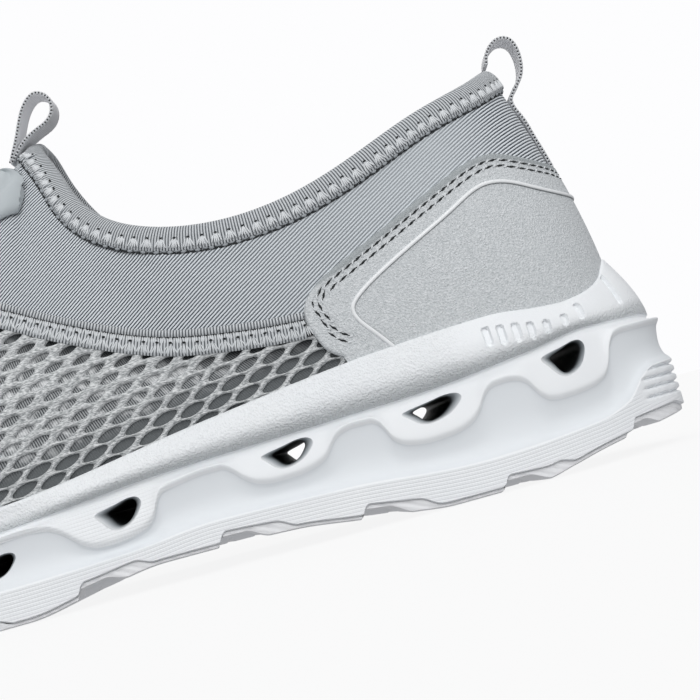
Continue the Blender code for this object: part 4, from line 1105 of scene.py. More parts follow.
# The flat plan is turned and scaled to lie as the outer side does when seen from beside the shoe.
corner_points = np.zeros(len(panel_mesh.loops), int)
panel_mesh.loops.foreach_get("vertex_index", corner_points)
flat = np.zeros(2 * len(panel_mesh.loops), np.float32)
panel_mesh.uv_layers["flat"].data.foreach_get("uv", flat)
flat = flat.reshape(-1, 2)[:, 0] + 1j * flat.reshape(-1, 2)[:, 1]
solid = np.array([vertex.co for vertex in panel_mesh.vertices])[corner_points] / MM
seen = (solid[:, 1] > 20) & (solid[:, 0] > -50) & (solid[:, 0] < 40)
system = np.stack([flat[seen], np.ones(seen.sum())], axis=1)
turn, shift = np.linalg.lstsq(system, -solid[seen, 0] + 1j * solid[seen, 2], rcond=None)[0]
flat = flat * turn + shift
plan = np.stack([flat.real, flat.imag], axis=1) * MM
panel_mesh.uv_layers["flat"].data.foreach_set("uv", plan.astype(np.float32).ravel())
print("flat plan", np.ptp(plan, axis=0).round(3), "m")

# %% [markdown]
# One cell of the net is a diamond with a lens cut out. Its outer edge is the crown of the threads, which it
# shares with its neighbours; four more rings roll over the thread and down into the hole.

# %% One cell of net
CELL_POINTS = 16
HOLE_LONG, HOLE_CROSS = 2.5, 0.92
CELL_RINGS = [(0.0, 0.42), (0.45, 0.32), (0.85, 0.02), (1.02, -0.45), (0.98, -1.0)]  # way inward, height


def net_cell():
    """The mesh of one diamond on the flat plan."""
    long, cross = np.array([NET_LONG, 0]), NET_CROSS * np.array([cos(NET_LEAN), sin(NET_LEAN)])
    corners = 0.5 * np.array([long, cross, -long, -cross])
    step = np.arange(CELL_POINTS)
    part = (step % 4 / 4)[:, None]
    edge = corners[step // 4] * (1 - part) + corners[(step // 4 + 1) % 4] * part
    angles = np.arange(CELL_POINTS) * 2 * pi / CELL_POINTS
    lens = 1 - 0.32 * np.cos(angles) ** 2
    hole = np.stack([HOLE_LONG * np.cos(angles), HOLE_CROSS * np.sin(angles) * lens], axis=1)
    rings = [np.column_stack([edge * (1 - part) + hole * part, np.full(CELL_POINTS, height)])
             for part, height in CELL_RINGS]
    faces = []
    for ring in range(len(rings) - 1):
        for k in range(CELL_POINTS):
            here, beside = ring * CELL_POINTS + k, ring * CELL_POINTS + (k + 1) % CELL_POINTS
            faces.append((here, beside, beside + CELL_POINTS, here + CELL_POINTS))
    mesh = bpy.data.meshes.new("net_cell")
    mesh.from_pydata((np.concatenate(rings) * MM).tolist(), [], faces)
    inward = np.repeat([part for part, _ in CELL_RINGS], CELL_POINTS)
    mesh.attributes.new("inward", "FLOAT", "POINT").data.foreach_set("value", inward.astype(np.float32))
    return mesh


cell = new_object("net_cell", net_cell())
print("net cell:", len(cell.data.polygons), "faces")

# %% [markdown]
# Every node tree of this lesson is run in the same way: its inputs are set by their identifiers on a Nodes
# modifier, the result is read as a plain mesh, and the holder with its modifier is thrown away.

# %% Run a node tree


def new_tree(name, sockets):
    """A geometry tree with named inputs, given as (name, socket type) rows, and one mesh in and out."""
    tree = bpy.data.node_groups.new(name, "GeometryNodeTree")
    tree.interface.new_socket("Mesh", in_out="INPUT", socket_type="NodeSocketGeometry")
    for title, kind in sockets:
        tree.interface.new_socket(title, in_out="INPUT", socket_type=kind)
    tree.interface.new_socket("Mesh", in_out="OUTPUT", socket_type="NodeSocketGeometry")
    return tree, add(tree, "NodeGroupInput").outputs


def run_tree(tree, mesh, values):
    """The plain mesh that a tree makes from a mesh with the given input values."""
    holder = new_object(tree.name, mesh)
    modifier = holder.modifiers.new(tree.name, "NODES")
    modifier.node_group = tree
    for item in tree.interface.items_tree:
        if item.in_out == "INPUT" and item.name in values:
            modifier[item.identifier] = values[item.name]
    return plain_mesh(holder)


# %% The net's node tree: a lattice of points
knit, given = new_tree("knitted_net", [
    ("Cell", "NodeSocketObject"), ("Across Count", "NodeSocketInt"), ("Long Pitch", "NodeSocketFloat"),
    ("Cross Pitch", "NodeSocketFloat"), ("Cross Lean", "NodeSocketFloat"), ("Slant", "NodeSocketFloat"),
    ("Widening", "NodeSocketFloat"), ("Centre", "NodeSocketVector"), ("Material", "NodeSocketMaterial")])
count = given["Across Count"]
wide = add(knit, "ShaderNodeMath", {0: count, 1: 1.0}, operation="SUBTRACT")
lattice = add(knit, "GeometryNodeMeshGrid", {
    "Size X": wide, "Size Y": wide, "Vertices X": count, "Vertices Y": count})
spot = add(knit, "GeometryNodeInputPosition")
step = add(knit, "ShaderNodeSeparateXYZ", {0: spot}).outputs
both = add(knit, "ShaderNodeMath", {0: step["X"], 1: step["Y"]})
less = add(knit, "ShaderNodeMath", {0: step["X"], 1: step["Y"]}, operation="SUBTRACT")
half_long = add(knit, "ShaderNodeMath", {0: given["Long Pitch"], 1: 0.5}, operation="MULTIPLY")
half_cross = add(knit, "ShaderNodeMath", {0: given["Cross Pitch"], 1: 0.5}, operation="MULTIPLY")
far = add(knit, "ShaderNodeMath", {0: both, 1: half_long}, operation="MULTIPLY")
tall = add(knit, "ShaderNodeMath", {0: less, 1: half_cross}, operation="MULTIPLY")
lengthwise = add(knit, "ShaderNodeCombineXYZ", {"X": far})
crosswise = add(knit, "ShaderNodeCombineXYZ", {"X": tall})
crosswise = add(knit, "ShaderNodeVectorRotate", {"Vector": crosswise, "Angle": given["Cross Lean"]},
                rotation_type="Z_AXIS")
diamond = add(knit, "ShaderNodeVectorMath", {0: lengthwise, 1: crosswise})
turned = add(knit, "ShaderNodeVectorRotate", {"Vector": diamond, "Angle": given["Slant"]},
             rotation_type="Z_AXIS")
placed = add(knit, "ShaderNodeVectorMath", {0: turned, 1: given["Centre"]})
lattice = add(knit, "GeometryNodeSetPosition", {"Geometry": lattice, "Position": placed})
flat_map = add(knit, "GeometryNodeInputNamedAttribute", {"Name": "flat"}, data_type="FLOAT_VECTOR")
sheet = add(knit, "GeometryNodeSetPosition", {"Geometry": given["Mesh"], "Position": flat_map})
away = add(knit, "GeometryNodeProximity", {0: sheet}).outputs["Distance"]
beyond = add(knit, "FunctionNodeCompare", {0: away, 1: given["Long Pitch"]}, operation="GREATER_THAN")
lattice = add(knit, "GeometryNodeDeleteGeometry", {"Geometry": lattice, "Selection": beyond})
lattice = add(knit, "GeometryNodeStoreNamedAttribute", {
    "Geometry": lattice, "Name": "middle", "Value": spot}, data_type="FLOAT_VECTOR")
print("lattice:", len(knit.nodes), "nodes")

# %% The net's node tree: cells on the lattice, bent onto the panel
spin = add(knit, "ShaderNodeCombineXYZ", {"Z": given["Slant"]})
pattern = add(knit, "GeometryNodeObjectInfo", {"Object": given["Cell"]}).outputs["Geometry"]
cells = add(knit, "GeometryNodeInstanceOnPoints", {"Points": lattice, "Instance": pattern, "Rotation": spin})
cells = add(knit, "GeometryNodeRealizeInstances", {"Geometry": cells})
cells = add(knit, "GeometryNodeMergeByDistance", {"Geometry": cells, "Distance": 0.02 * MM})
middle = add(knit, "GeometryNodeInputNamedAttribute", {"Name": "middle"}, data_type="FLOAT_VECTOR")
inward = add(knit, "GeometryNodeInputNamedAttribute", {"Name": "inward"}, data_type="FLOAT")
wide_map = add(knit, "GeometryNodeInputNamedAttribute", {"Name": "wide"}, data_type="FLOAT_VECTOR")
wide = add(knit, "GeometryNodeSampleUVSurface", {
    0: given["Mesh"], "Value": wide_map, "Source UV Map": flat_map, "Sample UV": middle},
    data_type="FLOAT_VECTOR")
wide = add(knit, "ShaderNodeSeparateXYZ", {0: wide})
grow = add(knit, "ShaderNodeMath", {0: wide, 1: inward}, operation="MULTIPLY")
grow = add(knit, "ShaderNodeMath", {0: grow, 1: given["Widening"]}, operation="MULTIPLY")
from_middle = add(knit, "ShaderNodeVectorMath", {0: spot, 1: middle}, operation="SUBTRACT")
from_middle = add(knit, "ShaderNodeVectorMath", {0: from_middle, 1: (1.0, 1.0, 0.0)}, operation="MULTIPLY")
more = add(knit, "ShaderNodeVectorMath", {0: from_middle, "Scale": grow}, operation="SCALE")
cells = add(knit, "GeometryNodeSetPosition", {"Geometry": cells, "Offset": more})
place, facing = [add(knit, "GeometryNodeSampleUVSurface", {
    0: given["Mesh"], "Value": add(knit, source), "Source UV Map": flat_map, "Sample UV": spot},
    data_type="FLOAT_VECTOR") for source in ("GeometryNodeInputPosition", "GeometryNodeInputNormal")]
outside = add(knit, "FunctionNodeBooleanMath", {0: place.outputs["Is Valid"]}, operation="NOT")
cells = add(knit, "GeometryNodeDeleteGeometry", {"Geometry": cells, "Selection": outside})
thick = add(knit, "ShaderNodeSeparateXYZ", {0: spot}).outputs["Z"]
lift = add(knit, "ShaderNodeVectorMath", {0: facing, "Scale": thick}, operation="SCALE")
curved = add(knit, "ShaderNodeVectorMath", {0: place, 1: lift})
cells = add(knit, "GeometryNodeSetPosition", {"Geometry": cells, "Position": curved})
cells = add(knit, "GeometryNodeSetMaterial", {"Geometry": cells, "Material": given["Material"]})
add(knit, "NodeGroupOutput", {0: cells})
print("net:", len(knit.nodes), "nodes")

# %% Net material and pieces
net_yarn, tree, shader = new_material("knitted_net_yarn", "c3c6c7", 0.7, {
    "Sheen Weight": 0.2, "Specular IOR Level": 0.35})
# Twisted polyester: pale, a little shiny, with a fuzzy thread texture of under half a millimetre.
where = add(tree, "ShaderNodeTexCoord").outputs["Object"]
drawn = add(tree, "ShaderNodeMapping", {
    "Vector": where, "Rotation": (0.0, radians(-20), 0.0), "Scale": (0.4, 1.0, 1.5)})
fuzz = add(tree, "ShaderNodeTexNoise", {"Vector": drawn, "Scale": 2.4 / MM, "Detail": 3.0})
# The same noise sets the colour: its pale and dark specks are painted highlights and shade on the yarn.
painted_yarn_specks = add(tree, "ShaderNodeMapRange", {"Value": fuzz, "From Min": 0.34, "From Max": 0.68})
tint = add(tree, "ShaderNodeMix", {"Factor": painted_yarn_specks, 6: linear("8d9193"), 7: linear("f2f4f4")},
           data_type="RGBA")
bump = add(tree, "ShaderNodeBump", {"Height": fuzz, "Strength": 0.7, "Distance": 0.4 * MM})
feed(tree, shader, {"Base Color": tint, "Normal": bump})

middle = (plan.min(axis=0) + plan.max(axis=0)) / 2
reach = np.linalg.norm(plan.max(axis=0) - plan.min(axis=0))
net_count = int((reach / NET_LONG + reach / NET_CROSS) / MM)
net_mesh = run_tree(knit, panel_mesh, {
    "Cell": cell, "Across Count": net_count, "Long Pitch": NET_LONG * MM, "Cross Pitch": NET_CROSS * MM,
    "Cross Lean": NET_LEAN, "Slant": NET_SLANT, "Widening": NET_OPEN,
    "Centre": (float(middle[0]), float(middle[1]), 0.0), "Material": net_yarn})
bpy.data.objects.remove(panel)
bpy.data.objects.remove(cell)


def beside_ridge(face):
    """How far a face lies to the outer side of the instep's middle line, which bends in toward the toe."""
    return face.calc_center_median().y - TOE_SIDE * MM * smoothstep(0.03, 0.12, face.verts[0].co.x)


for name, side in (("net_outer_side", LATERAL), ("net_inner_side", MEDIAL)):
    bm = bmesh.new()
    bm.from_mesh(net_mesh)
    others = [face for face in bm.faces if beside_ridge(face) * side < 0]
    bmesh.ops.delete(bm, geom=others, context="FACES")
    half = bpy.data.meshes.new(name)
    bm.to_mesh(half)
    bm.free()
    put_on(name, half, net_yarn, "upper", sharp=80)

# %% [markdown]
# ## Sewing thread
# There are some thousands of stitches on this shoe. One node tree lays them all: it takes a line that knows
# which way the surface under it faces, marks it off in even steps, and sets one short thread on every mark.
# A row of stitches is then only a list of numbers: how far apart, how far to the side, how much they lean.

# %% A node tree that sews
sewing, given = new_tree("thread_row", [
    ("Pitch", "NodeSocketFloat"), ("Along", "NodeSocketFloat"), ("Shift", "NodeSocketFloat"),
    ("Lift", "NodeSocketFloat"), ("Tilt", "NodeSocketFloat"), ("Wander", "NodeSocketFloat"),
    ("Size", "NodeSocketVector"), ("Seed", "NodeSocketInt"), ("Material", "NodeSocketMaterial")])
line = add(sewing, "GeometryNodeMeshToCurve", {0: given["Mesh"]})
line = add(sewing, "GeometryNodeResampleCurve", {0: line, "Length": given["Pitch"]}, mode="LENGTH")
marks = add(sewing, "GeometryNodeCurveToPoints", {0: line}, mode="EVALUATED").outputs
ahead = marks["Tangent"]
facing = add(sewing, "GeometryNodeInputNamedAttribute", {"Name": "facing"}, data_type="FLOAT_VECTOR")
aside = add(sewing, "ShaderNodeVectorMath", {0: facing, 1: ahead}, operation="CROSS_PRODUCT")
upright = add(sewing, "FunctionNodeAlignRotationToVector", {"Vector": facing}, axis="Z")
upright = add(sewing, "FunctionNodeAlignRotationToVector", {"Rotation": upright, "Vector": ahead}, axis="X",
              pivot_axis="Z")
least = add(sewing, "ShaderNodeMath", {0: given["Tilt"], 1: given["Wander"]}, operation="SUBTRACT")
most = add(sewing, "ShaderNodeMath", {0: given["Tilt"], 1: given["Wander"]})
lean = add(sewing, "FunctionNodeRandomValue", {2: least, 3: most, "Seed": given["Seed"]}, data_type="FLOAT")
lean = add(sewing, "FunctionNodeAxisAngleToRotation", {"Axis": (0.0, 0.0, 1.0), "Angle": lean})
turned = add(sewing, "FunctionNodeRotateRotation", {"Rotation": upright, "Rotate By": lean},
             rotation_space="LOCAL")
sideways = add(sewing, "ShaderNodeVectorMath", {0: aside, "Scale": given["Shift"]}, operation="SCALE")
onward = add(sewing, "ShaderNodeVectorMath", {0: ahead, "Scale": given["Along"]}, operation="SCALE")
raised = add(sewing, "ShaderNodeVectorMath", {0: facing, "Scale": given["Lift"]}, operation="SCALE")
moved = add(sewing, "ShaderNodeVectorMath", {0: sideways, 1: onward})
moved = add(sewing, "ShaderNodeVectorMath", {0: moved, 1: raised})
thread = add(sewing, "GeometryNodeMeshUVSphere", {"Segments": 8, "Rings": 5, "Radius": 0.5})
sewn = add(sewing, "GeometryNodeInstanceOnPoints", {
    "Points": marks["Points"], "Instance": thread, "Rotation": turned, "Scale": given["Size"]})
sewn = add(sewing, "GeometryNodeTranslateInstances", {
    "Instances": sewn, "Translation": moved, "Local Space": False})
sewn = add(sewing, "GeometryNodeRealizeInstances", {"Geometry": sewn})
sewn = add(sewing, "GeometryNodeSetMaterial", {"Geometry": sewn, "Material": given["Material"]})
add(sewing, "NodeGroupOutput", {0: sewn})
print("thread row:", len(sewing.nodes), "nodes")

# %% Sew, and the threads


def sew(name, points, facing, material, node, rows, closed=False):
    """Rows of thread along a line: pitch, along, shift, lift, tilt, wander and the thread's three sizes."""
    count = len(points)
    pairs = [(k, (k + 1) % count) for k in range(count if closed else count - 1)]
    bm = bmesh.new()
    for seed, (pitch, along, shift, lift, tilt, wander, *size) in enumerate(rows):
        line = bpy.data.meshes.new(name)
        line.from_pydata(world_points(points).tolist(), pairs, [])
        faced = line.attributes.new("facing", "FLOAT_VECTOR", "POINT")
        faced.data.foreach_set("vector", np.asarray(facing, np.float32).ravel())
        bm.from_mesh(run_tree(sewing, line, {
            "Pitch": pitch * MM, "Along": along * MM, "Shift": shift * MM, "Lift": lift * MM,
            "Tilt": radians(tilt), "Wander": radians(wander), "Size": [part * MM for part in size],
            "Seed": seed, "Material": material}))
    mesh = bpy.data.meshes.new(name)
    bm.to_mesh(mesh)
    bm.free()
    return put_on(name, mesh, material, node, sharp=180)


# Filament thread is smooth and bright on its crown; what lies in a needle's hole is in deep shade.
pale_thread, _, _ = new_material("pale_sewing_thread", "e0e3e5", 0.55, {"Sheen Weight": 0.3})
grey_thread, _, _ = new_material("grey_sewing_thread", "9fa4a8", 0.6, {"Sheen Weight": 0.2})
needle_dark, _, _ = new_material("needle_hole_shade", "26292b", 0.9)
print("threads:", pale_thread.name, grey_thread.name)

# %% [markdown]
# ## Lines and strips on the skin
# Tapes, cords and stitches all follow a line on the upper. Such a line is drawn through a few measured
# places on each side, meets the back seam at one height, and is marked off evenly. A cross-section swept
# along it makes a tape or a cord.

# %% Lines on the skin, and sweeps along them
SKIN_SCALE = (345, 75)  # about how many millimetres one share and one rise are


def skin_line(rows, back, step):
    """Shares and rises along rows on the outer side, one height at the back, and the same rows inside."""
    outer = np.array(side_places(LATERAL, rows)).T
    inner = np.array(side_places(MEDIAL, rows)).T[::-1]
    middle = [(0.0, rise_at_height(0.0, back)[0])]
    return (even_path(np.concatenate([outer, middle, inner]) * SKIN_SCALE, step) / SKIN_SCALE).T


def frames_along(points, normals, closed=False):
    """Along, across and out directions at every point of a line."""
    if closed:
        along = unit(np.roll(points, -1, axis=0) - np.roll(points, 1, axis=0))
    else:
        along = unit(np.gradient(points, axis=0))
    out = unit(normals - along * np.sum(normals * along, axis=1, keepdims=True))
    return along, np.cross(out, along), out


def swept(points, normals, ring, closed=False):
    """A grid swept along a line; the ring holds (across, out) places."""
    _, across, out = frames_along(points, normals, closed)
    grid = points[:, None] + across[:, None] * ring[:, :1] + out[:, None] * ring[:, 1:]
    return np.concatenate([grid, grid[:1]]) if closed else grid


def capped(grid):
    """A swept grid with its two ends closed at their middles."""
    ends = [np.tile(grid[end].mean(axis=0), (grid.shape[1], 1))[None] for end in (0, -1)]
    return np.concatenate([ends[0], grid, ends[1]])


def put_strip(name, grid, material, node, sharp=45):
    """A swept tape or cord; its map holds millimetres along it, and millimetres round its ring."""
    along = chord_knots(grid[:, 0])
    steps = np.linalg.norm(np.diff(grid, axis=1), axis=2)
    around = np.concatenate([np.zeros((len(grid), 1)), np.cumsum(steps, axis=1)], axis=1)
    weave = np.stack([np.repeat(along[:, None], grid.shape[1], axis=1), around], axis=-1)
    put_on(name, mesh_of(name, [grid], {"weave": [weave]}), material, node, sharp)


# %% [markdown]
# ## Heel counter
# A smooth moulded overlay stiffens the heel. Its edge is a thin rounded flange, then comes a sunken channel
# with two rows of stitches, then the plain field with one raised cord line. All of this depends only on the
# distance from the edge, so the overlay's height is a function of that distance.

# %% Counter material
counter_hide, tree, shader = new_material("moulded_synthetic_leather", "cfd3d5", 0.48, {
    "Specular IOR Level": 0.4})
# Polyurethane sheet: an even satin gloss over a very fine, shallow grain; painted shade greys its edge.
where = add(tree, "ShaderNodeTexCoord").outputs["Object"]
grain = add(tree, "ShaderNodeTexVoronoi", {"Vector": where, "Scale": 2.4 / MM}, feature="F1")
cloud = add(tree, "ShaderNodeTexNoise", {"Vector": where, "Scale": 1.9 / MM, "Detail": 3.0})
rough = add(tree, "ShaderNodeMath", {0: grain, 1: cloud})
bump = add(tree, "ShaderNodeBump", {"Height": rough, "Strength": 0.7, "Distance": 0.3 * MM})
inward = add(tree, "ShaderNodeSeparateXYZ", {0: add(tree, "ShaderNodeUVMap", uv_map="edge")})
painted_edge_shade = add(tree, "ShaderNodeMapRange", {"Value": inward, "From Min": 2.0, "From Max": 1.3})
speck = add(tree, "ShaderNodeMapRange", {"Value": cloud, "From Min": 0.3, "From Max": 0.7})
tint = add(tree, "ShaderNodeMix", {"Factor": speck, 6: linear("c3c8ca"), 7: linear("e3e6e8")},
           data_type="RGBA")
tint = add(tree, "ShaderNodeMix", {"Factor": painted_edge_shade, 6: tint, 7: linear("aab0b2")}, data_type="RGBA")
feed(tree, shader, {"Base Color": tint, "Normal": bump})

cord_hide, tree, shader = new_material("glossy_cord_skin", "f4f6f7", 0.32)
# The raised line is glossy; its thin bright stroke is a painted highlight, and its lower side a painted
# shadow.
around = add(tree, "ShaderNodeSeparateXYZ", {0: add(tree, "ShaderNodeUVMap", uv_map="weave")}).outputs["Y"]
painted_cord_shadow = add(tree, "ShaderNodeMapRange", {"Value": around, "From Min": 1.2, "From Max": 1.55})
tint = add(tree, "ShaderNodeMix", {"Factor": painted_cord_shadow, 6: linear("f4f6f7"), 7: linear("6b7073")},
           data_type="RGBA")
feed(tree, shader, {"Base Color": tint})
print("counter sheet and cord:", counter_hide.name, cord_hide.name)

# %% Counter overlay
COUNTER_EDGE = [  # station, height of the counter's edge: up its front, round its tip, back along its top
    (80.5, 40.7), (83.7, 43.0), (85.8, 46.8), (87.2, 52.5), (85.0, 57.2), (81.9, 59.8), (77.3, 62.2),
    (69.3, 65.8), (59.3, 70.4), (47.2, 76.0), (34.0, 80.2), (27.0, 78.5), (20.0, 76.3),
]
COUNTER_BACK, COUNTER_THICK = 75.4, 1.2
FLANGE, STRIP = 1.55, 1.6  # width of the flange, and how much wider it is down the front
CHANNEL, CHANNEL_DEPTH = 2.7, 0.22

edge_share, edge_rise = skin_line(COUNTER_EDGE, COUNTER_BACK, 0.3)
edge_points, edge_normals = skin_at(edge_share, edge_rise)
edge_tree = KDTree(len(edge_points))
for k, point in enumerate(edge_points):
    edge_tree.insert(point, k)
edge_tree.balance()


def counter_grid(columns, rows):
    """Shares and rises that fill the overlay between its edge and the sole's rim."""
    tip, tail = np.argmax(edge_share), np.argmin(edge_share)
    turns = np.linspace(-pi / 2, pi / 2, columns)
    share = np.where(turns > 0, edge_share[tip], -edge_share[tail]) * np.sin(turns)
    top = np.interp(share, edge_share[tip:tail + 1][::-1], edge_rise[tip:tail + 1][::-1])
    low = rise_at_height(share, rim_top_at(abs(share) * HALF_RUN) - 0.6)
    outer = np.interp(share, edge_share[:tip + 1], edge_rise[:tip + 1], left=0)
    inner = np.interp(-share, -edge_share[tail:][::-1], edge_rise[tail:][::-1], left=0)
    low = np.minimum(np.maximum(low, np.maximum(outer, inner)), top)
    part = 1 - (1 - np.linspace(0, 1, rows)) ** 1.3
    return share[:, None] * np.ones(rows), low[:, None] * (1 - part) + top[:, None] * part


share, rise = counter_grid(281, 50)
points, normals = skin_at(share, rise)
far = np.array([edge_tree.find(point)[2] for point in points.reshape(-1, 3)]).reshape(share.shape)
flange = np.sqrt(1 - (1 - np.clip(far / 0.8, 0, 1)) ** 2)
inner = far - STRIP * smoothstep(56, 50, points[..., 2])
channel = smoothstep(FLANGE - 0.3, FLANGE + 0.3, inner)
channel = channel * smoothstep(FLANGE + CHANNEL + 0.5, FLANGE + CHANNEL - 0.3, inner)
over = points + normals * (GAP + COUNTER_THICK * flange - CHANNEL_DEPTH * channel)[..., None]
under = points + normals * (0.3 * GAP)
sheets = shell_grids(under, over)
# The edge's painted shade fades out down the front, where this map is pushed further from the edge.
edge_shade_reach = far + 2.5 * smoothstep(62, 55, points[..., 2])
edge_map = np.stack([edge_shade_reach, edge_shade_reach], axis=-1)
flat = [edge_map, edge_map] + [np.full((*sheet.shape[:2], 2), 3.0) for sheet in sheets[2:]]
overlay = mesh_of("counter_overlay", sheets, {"edge": flat})
put_on("counter_overlay", overlay, counter_hide, "heel_counter", sharp=60)

# %% Counter stitches and the raised cord line
STITCH_LIFT = GAP + COUNTER_THICK - CHANNEL_DEPTH
STITCH, STITCH_ROWS = 3.0, (2.05, 3.6)  # length, and the two rows' distance from the edge


def edge_row(offset):
    """A line inside the counter's edge, further in where the front has its strip."""
    _, across, _ = frames_along(edge_points, edge_normals)
    inward = offset + STRIP * smoothstep(56, 50, edge_points[:, 2])
    return skin_at(*nearest_on_skin(edge_points - across * inward[:, None]))


for k, offset in enumerate(STITCH_ROWS):
    row_points, row_normals = edge_row(offset)
    sew(f"counter_stitches_{k}", row_points, row_normals, pale_thread, "heel_counter",
        [(STITCH, 0, 0, STITCH_LIFT + 0.1, 40, 5, 1.6, 0.42, 0.5)])
    # Dark dashes between the stitches: painted shade in the needle slots.
    sew(f"counter_needle_slots_{k}", row_points, row_normals, needle_dark, "heel_counter",
        [(STITCH, 0.5 * STITCH, 0, STITCH_LIFT, 9, 4, 1.65, 0.62, 0.26),
         (STITCH, 0.5 * STITCH, 0, STITCH_LIFT + 0.07, 3, 0, 3.0, 0.3, 0.22)])

PIPING = [  # station, height of the raised line on the counter
    (68.5, 40.2), (72.8, 45.7), (75.3, 49.4), (75.4, 51.8), (73.3, 54.1), (67.4, 57.8), (55.2, 64.0),
    (45.0, 69.2), (38.0, 72.5), (33.0, 72.5), (26.0, 69.8),
]
PIPING_BACK, CORD_RADIUS = 66.6, 0.55
points, normals = skin_at(*skin_line(PIPING, PIPING_BACK, 0.7))
arc = np.linspace(0, 2 * pi, 13)
cord_ring = np.stack([CORD_RADIUS * np.cos(arc), GAP + COUNTER_THICK + CORD_RADIUS * np.sin(arc)], axis=1)
put_strip("counter_cord", capped(swept(points, normals, cord_ring)), cord_hide, "counter_piping")

# %% [markdown]
# ## Collar tape
# A folded tape closes the collar edge. Its yarns run across it, about 0.75 mm apart. A zigzag machine has
# sewn it down: a needle hole every 3.4 mm, and under each hole bright strands that fan out to the tape's
# lower edge. The fold is swept round the collar as one closed section, and the stitches are laid on it.

# %% Tape material
TAPE_YARN = 0.75
tape, tree, shader = new_material("cross_ribbed_tape", "a9aeb2", 0.7, {"Sheen Weight": 0.3})
# Filament tape: a soft shine along the yarns and dark lines between them.
lie = add(tree, "ShaderNodeUVMap", uv_map="weave")
yarns = add(tree, "ShaderNodeTexWave", {
    "Vector": lie, "Scale": wave_scale(TAPE_YARN), "Distortion": 0.9, "Detail": 2.0, "Detail Scale": 0.6},
    bands_direction="X").outputs["Fac"]
shade = add(tree, "ShaderNodeValToRGB", {"Fac": yarns})
colour_stops(shade, [(0.1, "4d5358"), (0.6, "d3d7da")])
bump = add(tree, "ShaderNodeBump", {"Height": yarns, "Strength": 0.8, "Distance": 0.25 * MM})
feed(tree, shader, {"Base Color": shade, "Normal": bump})
print("tape:", len(tree.nodes), "nodes")

# %% Collar tape
WALL = 2.2
BINDING_DEPTH, BINDING_THICK = 5.3, 1.0
dense_share = np.linspace(0, THROAT, 1500)
dense_run = chord_knots(skin_at(dense_share, 1.0)[0])
half_share = np.interp(np.linspace(0, dense_run[-1], 420), dense_run, dense_share)
collar_share = np.concatenate([half_share, -half_share[-2:0:-1]])
place, normal = skin_at(collar_share, 1.0)
along, down, normal = frames_along(place, normal, closed=True)
bend, facing = skin_at(*nearest_on_skin(place + down))
foot, looking = skin_at(*nearest_on_skin(place + down * BINDING_DEPTH))
clear = GAP + 0.1
full, hem = clear + BINDING_THICK, clear + 0.55 * BINDING_THICK
inside = (WALL + 0.7 * smoothstep(0.4, THROAT, abs(collar_share)))[:, None]
crown, slot = place - down * full, place - down * clear
middle = 0.5 * (foot + bend) + 0.5 * (looking + facing) * (full + 0.1)
wrap = round_corners(np.array([
    foot + looking * clear, foot + looking * hem, middle, bend + facing * full, crown + normal * 0.2,
    crown - normal * (WALL + 0.2), bend - facing * (WALL + full), foot - looking * (inside + hem),
    foot - looking * (inside + clear)]), 2)
folded = np.concatenate([wrap, [slot - normal * (WALL + clear), slot + normal * clear], wrap[:1]])
collar_grid = np.concatenate([folded, folded[:, :1]], axis=1).transpose(1, 0, 2)
put_strip("collar_tape", collar_grid, tape, "collar_binding", sharp=70)

# %% Zigzag over the collar tape
ZIGZAG = 3.4
collar_stitch = 0.55 * place + 0.45 * foot + 0.5 * (facing + looking) * full
collar_facing = unit(facing + looking)
strands = [(ZIGZAG, along, 1.35, 0.0, tilt, 5, 2.6, 0.42, 0.42)
           for along, tilt in ((-0.95, 111), (-0.4, 99), (0.0, 90), (0.4, 81), (0.95, 69))]
sew("collar_zigzag", collar_stitch, collar_facing, pale_thread, "collar_binding", strands, closed=True)
# Dark dots at the top of each zigzag: painted shade in the needle holes.
holes = [(ZIGZAG, 0, -0.1, 0.0, 0, 10, 1.1, 0.6, 0.3)]
sew("collar_needle_holes", collar_stitch, collar_facing, needle_dark, "collar_binding", holes, closed=True)
hem_knots = [(ZIGZAG, 0.5 * ZIGZAG, 0.25, 0.1, 0, 10, 1.5, 0.8, 0.7),
             (ZIGZAG, 0.0, 0.0, 0.1, 0, 10, 1.9, 0.6, 0.6)]
sew("collar_hem", foot + looking * clear, looking, grey_thread, "collar_binding", hem_knots, closed=True)
under_hem = [(ZIGZAG / 2, 0.0, 0.5, 0.0, 0, 8, 1.85, 0.5, 0.4)]
sew("collar_hem_shade", foot + looking * GAP, looking, needle_dark, "collar_binding", under_hem, closed=True)

# %% [markdown]
# ## Seam between fabric and net
# The fabric's edge is rolled over and lies on a band of dense, woolly stitches that holds the net. The roll
# is a swept cord whose ribs run round it; the band is a flat tape under some hundreds of leaning threads.

# %% Seam tape, rolled edge and threads
BAND_RING = [  # across and out, round the section of the seam's tape
    (-1.4, 0.1), (3.0, 0.1), (3.3, 0.35), (3.0, 0.8), (1.6, 1.15), (-0.4, 1.15), (-1.3, 0.8), (-1.4, 0.1),
]
SEAM_STITCH = 3.2
seam_place, seam_normal = skin_at(seam_share, seam_rise)
band = capped(swept(seam_place, seam_normal, round_corners(np.array(BAND_RING), 1)))
put_strip("seam_tape", band, tape, "seam_binding", sharp=70)

roll_ring = np.stack([-2.15 + 0.95 * np.cos(arc), 0.75 + 0.85 * np.sin(arc)], axis=1)
put_strip("seam_roll", capped(swept(seam_place, seam_normal, roll_ring)), tape, "seam_binding", sharp=70)

woolly = [(0.55, 0, -0.45, 1.0, 93, 12, 1.9, 0.38, 0.5)]
for along, tilt in ((-1.1, 114), (-0.65, 105), (-0.2, 95), (0.25, 84), (0.7, 74), (1.15, 65)):
    woolly.append((SEAM_STITCH, along, 1.55, 0.95, tilt, 6, 2.9, 0.36, 0.5))
sew("seam_threads", seam_place, seam_normal, pale_thread, "seam_binding", woolly)
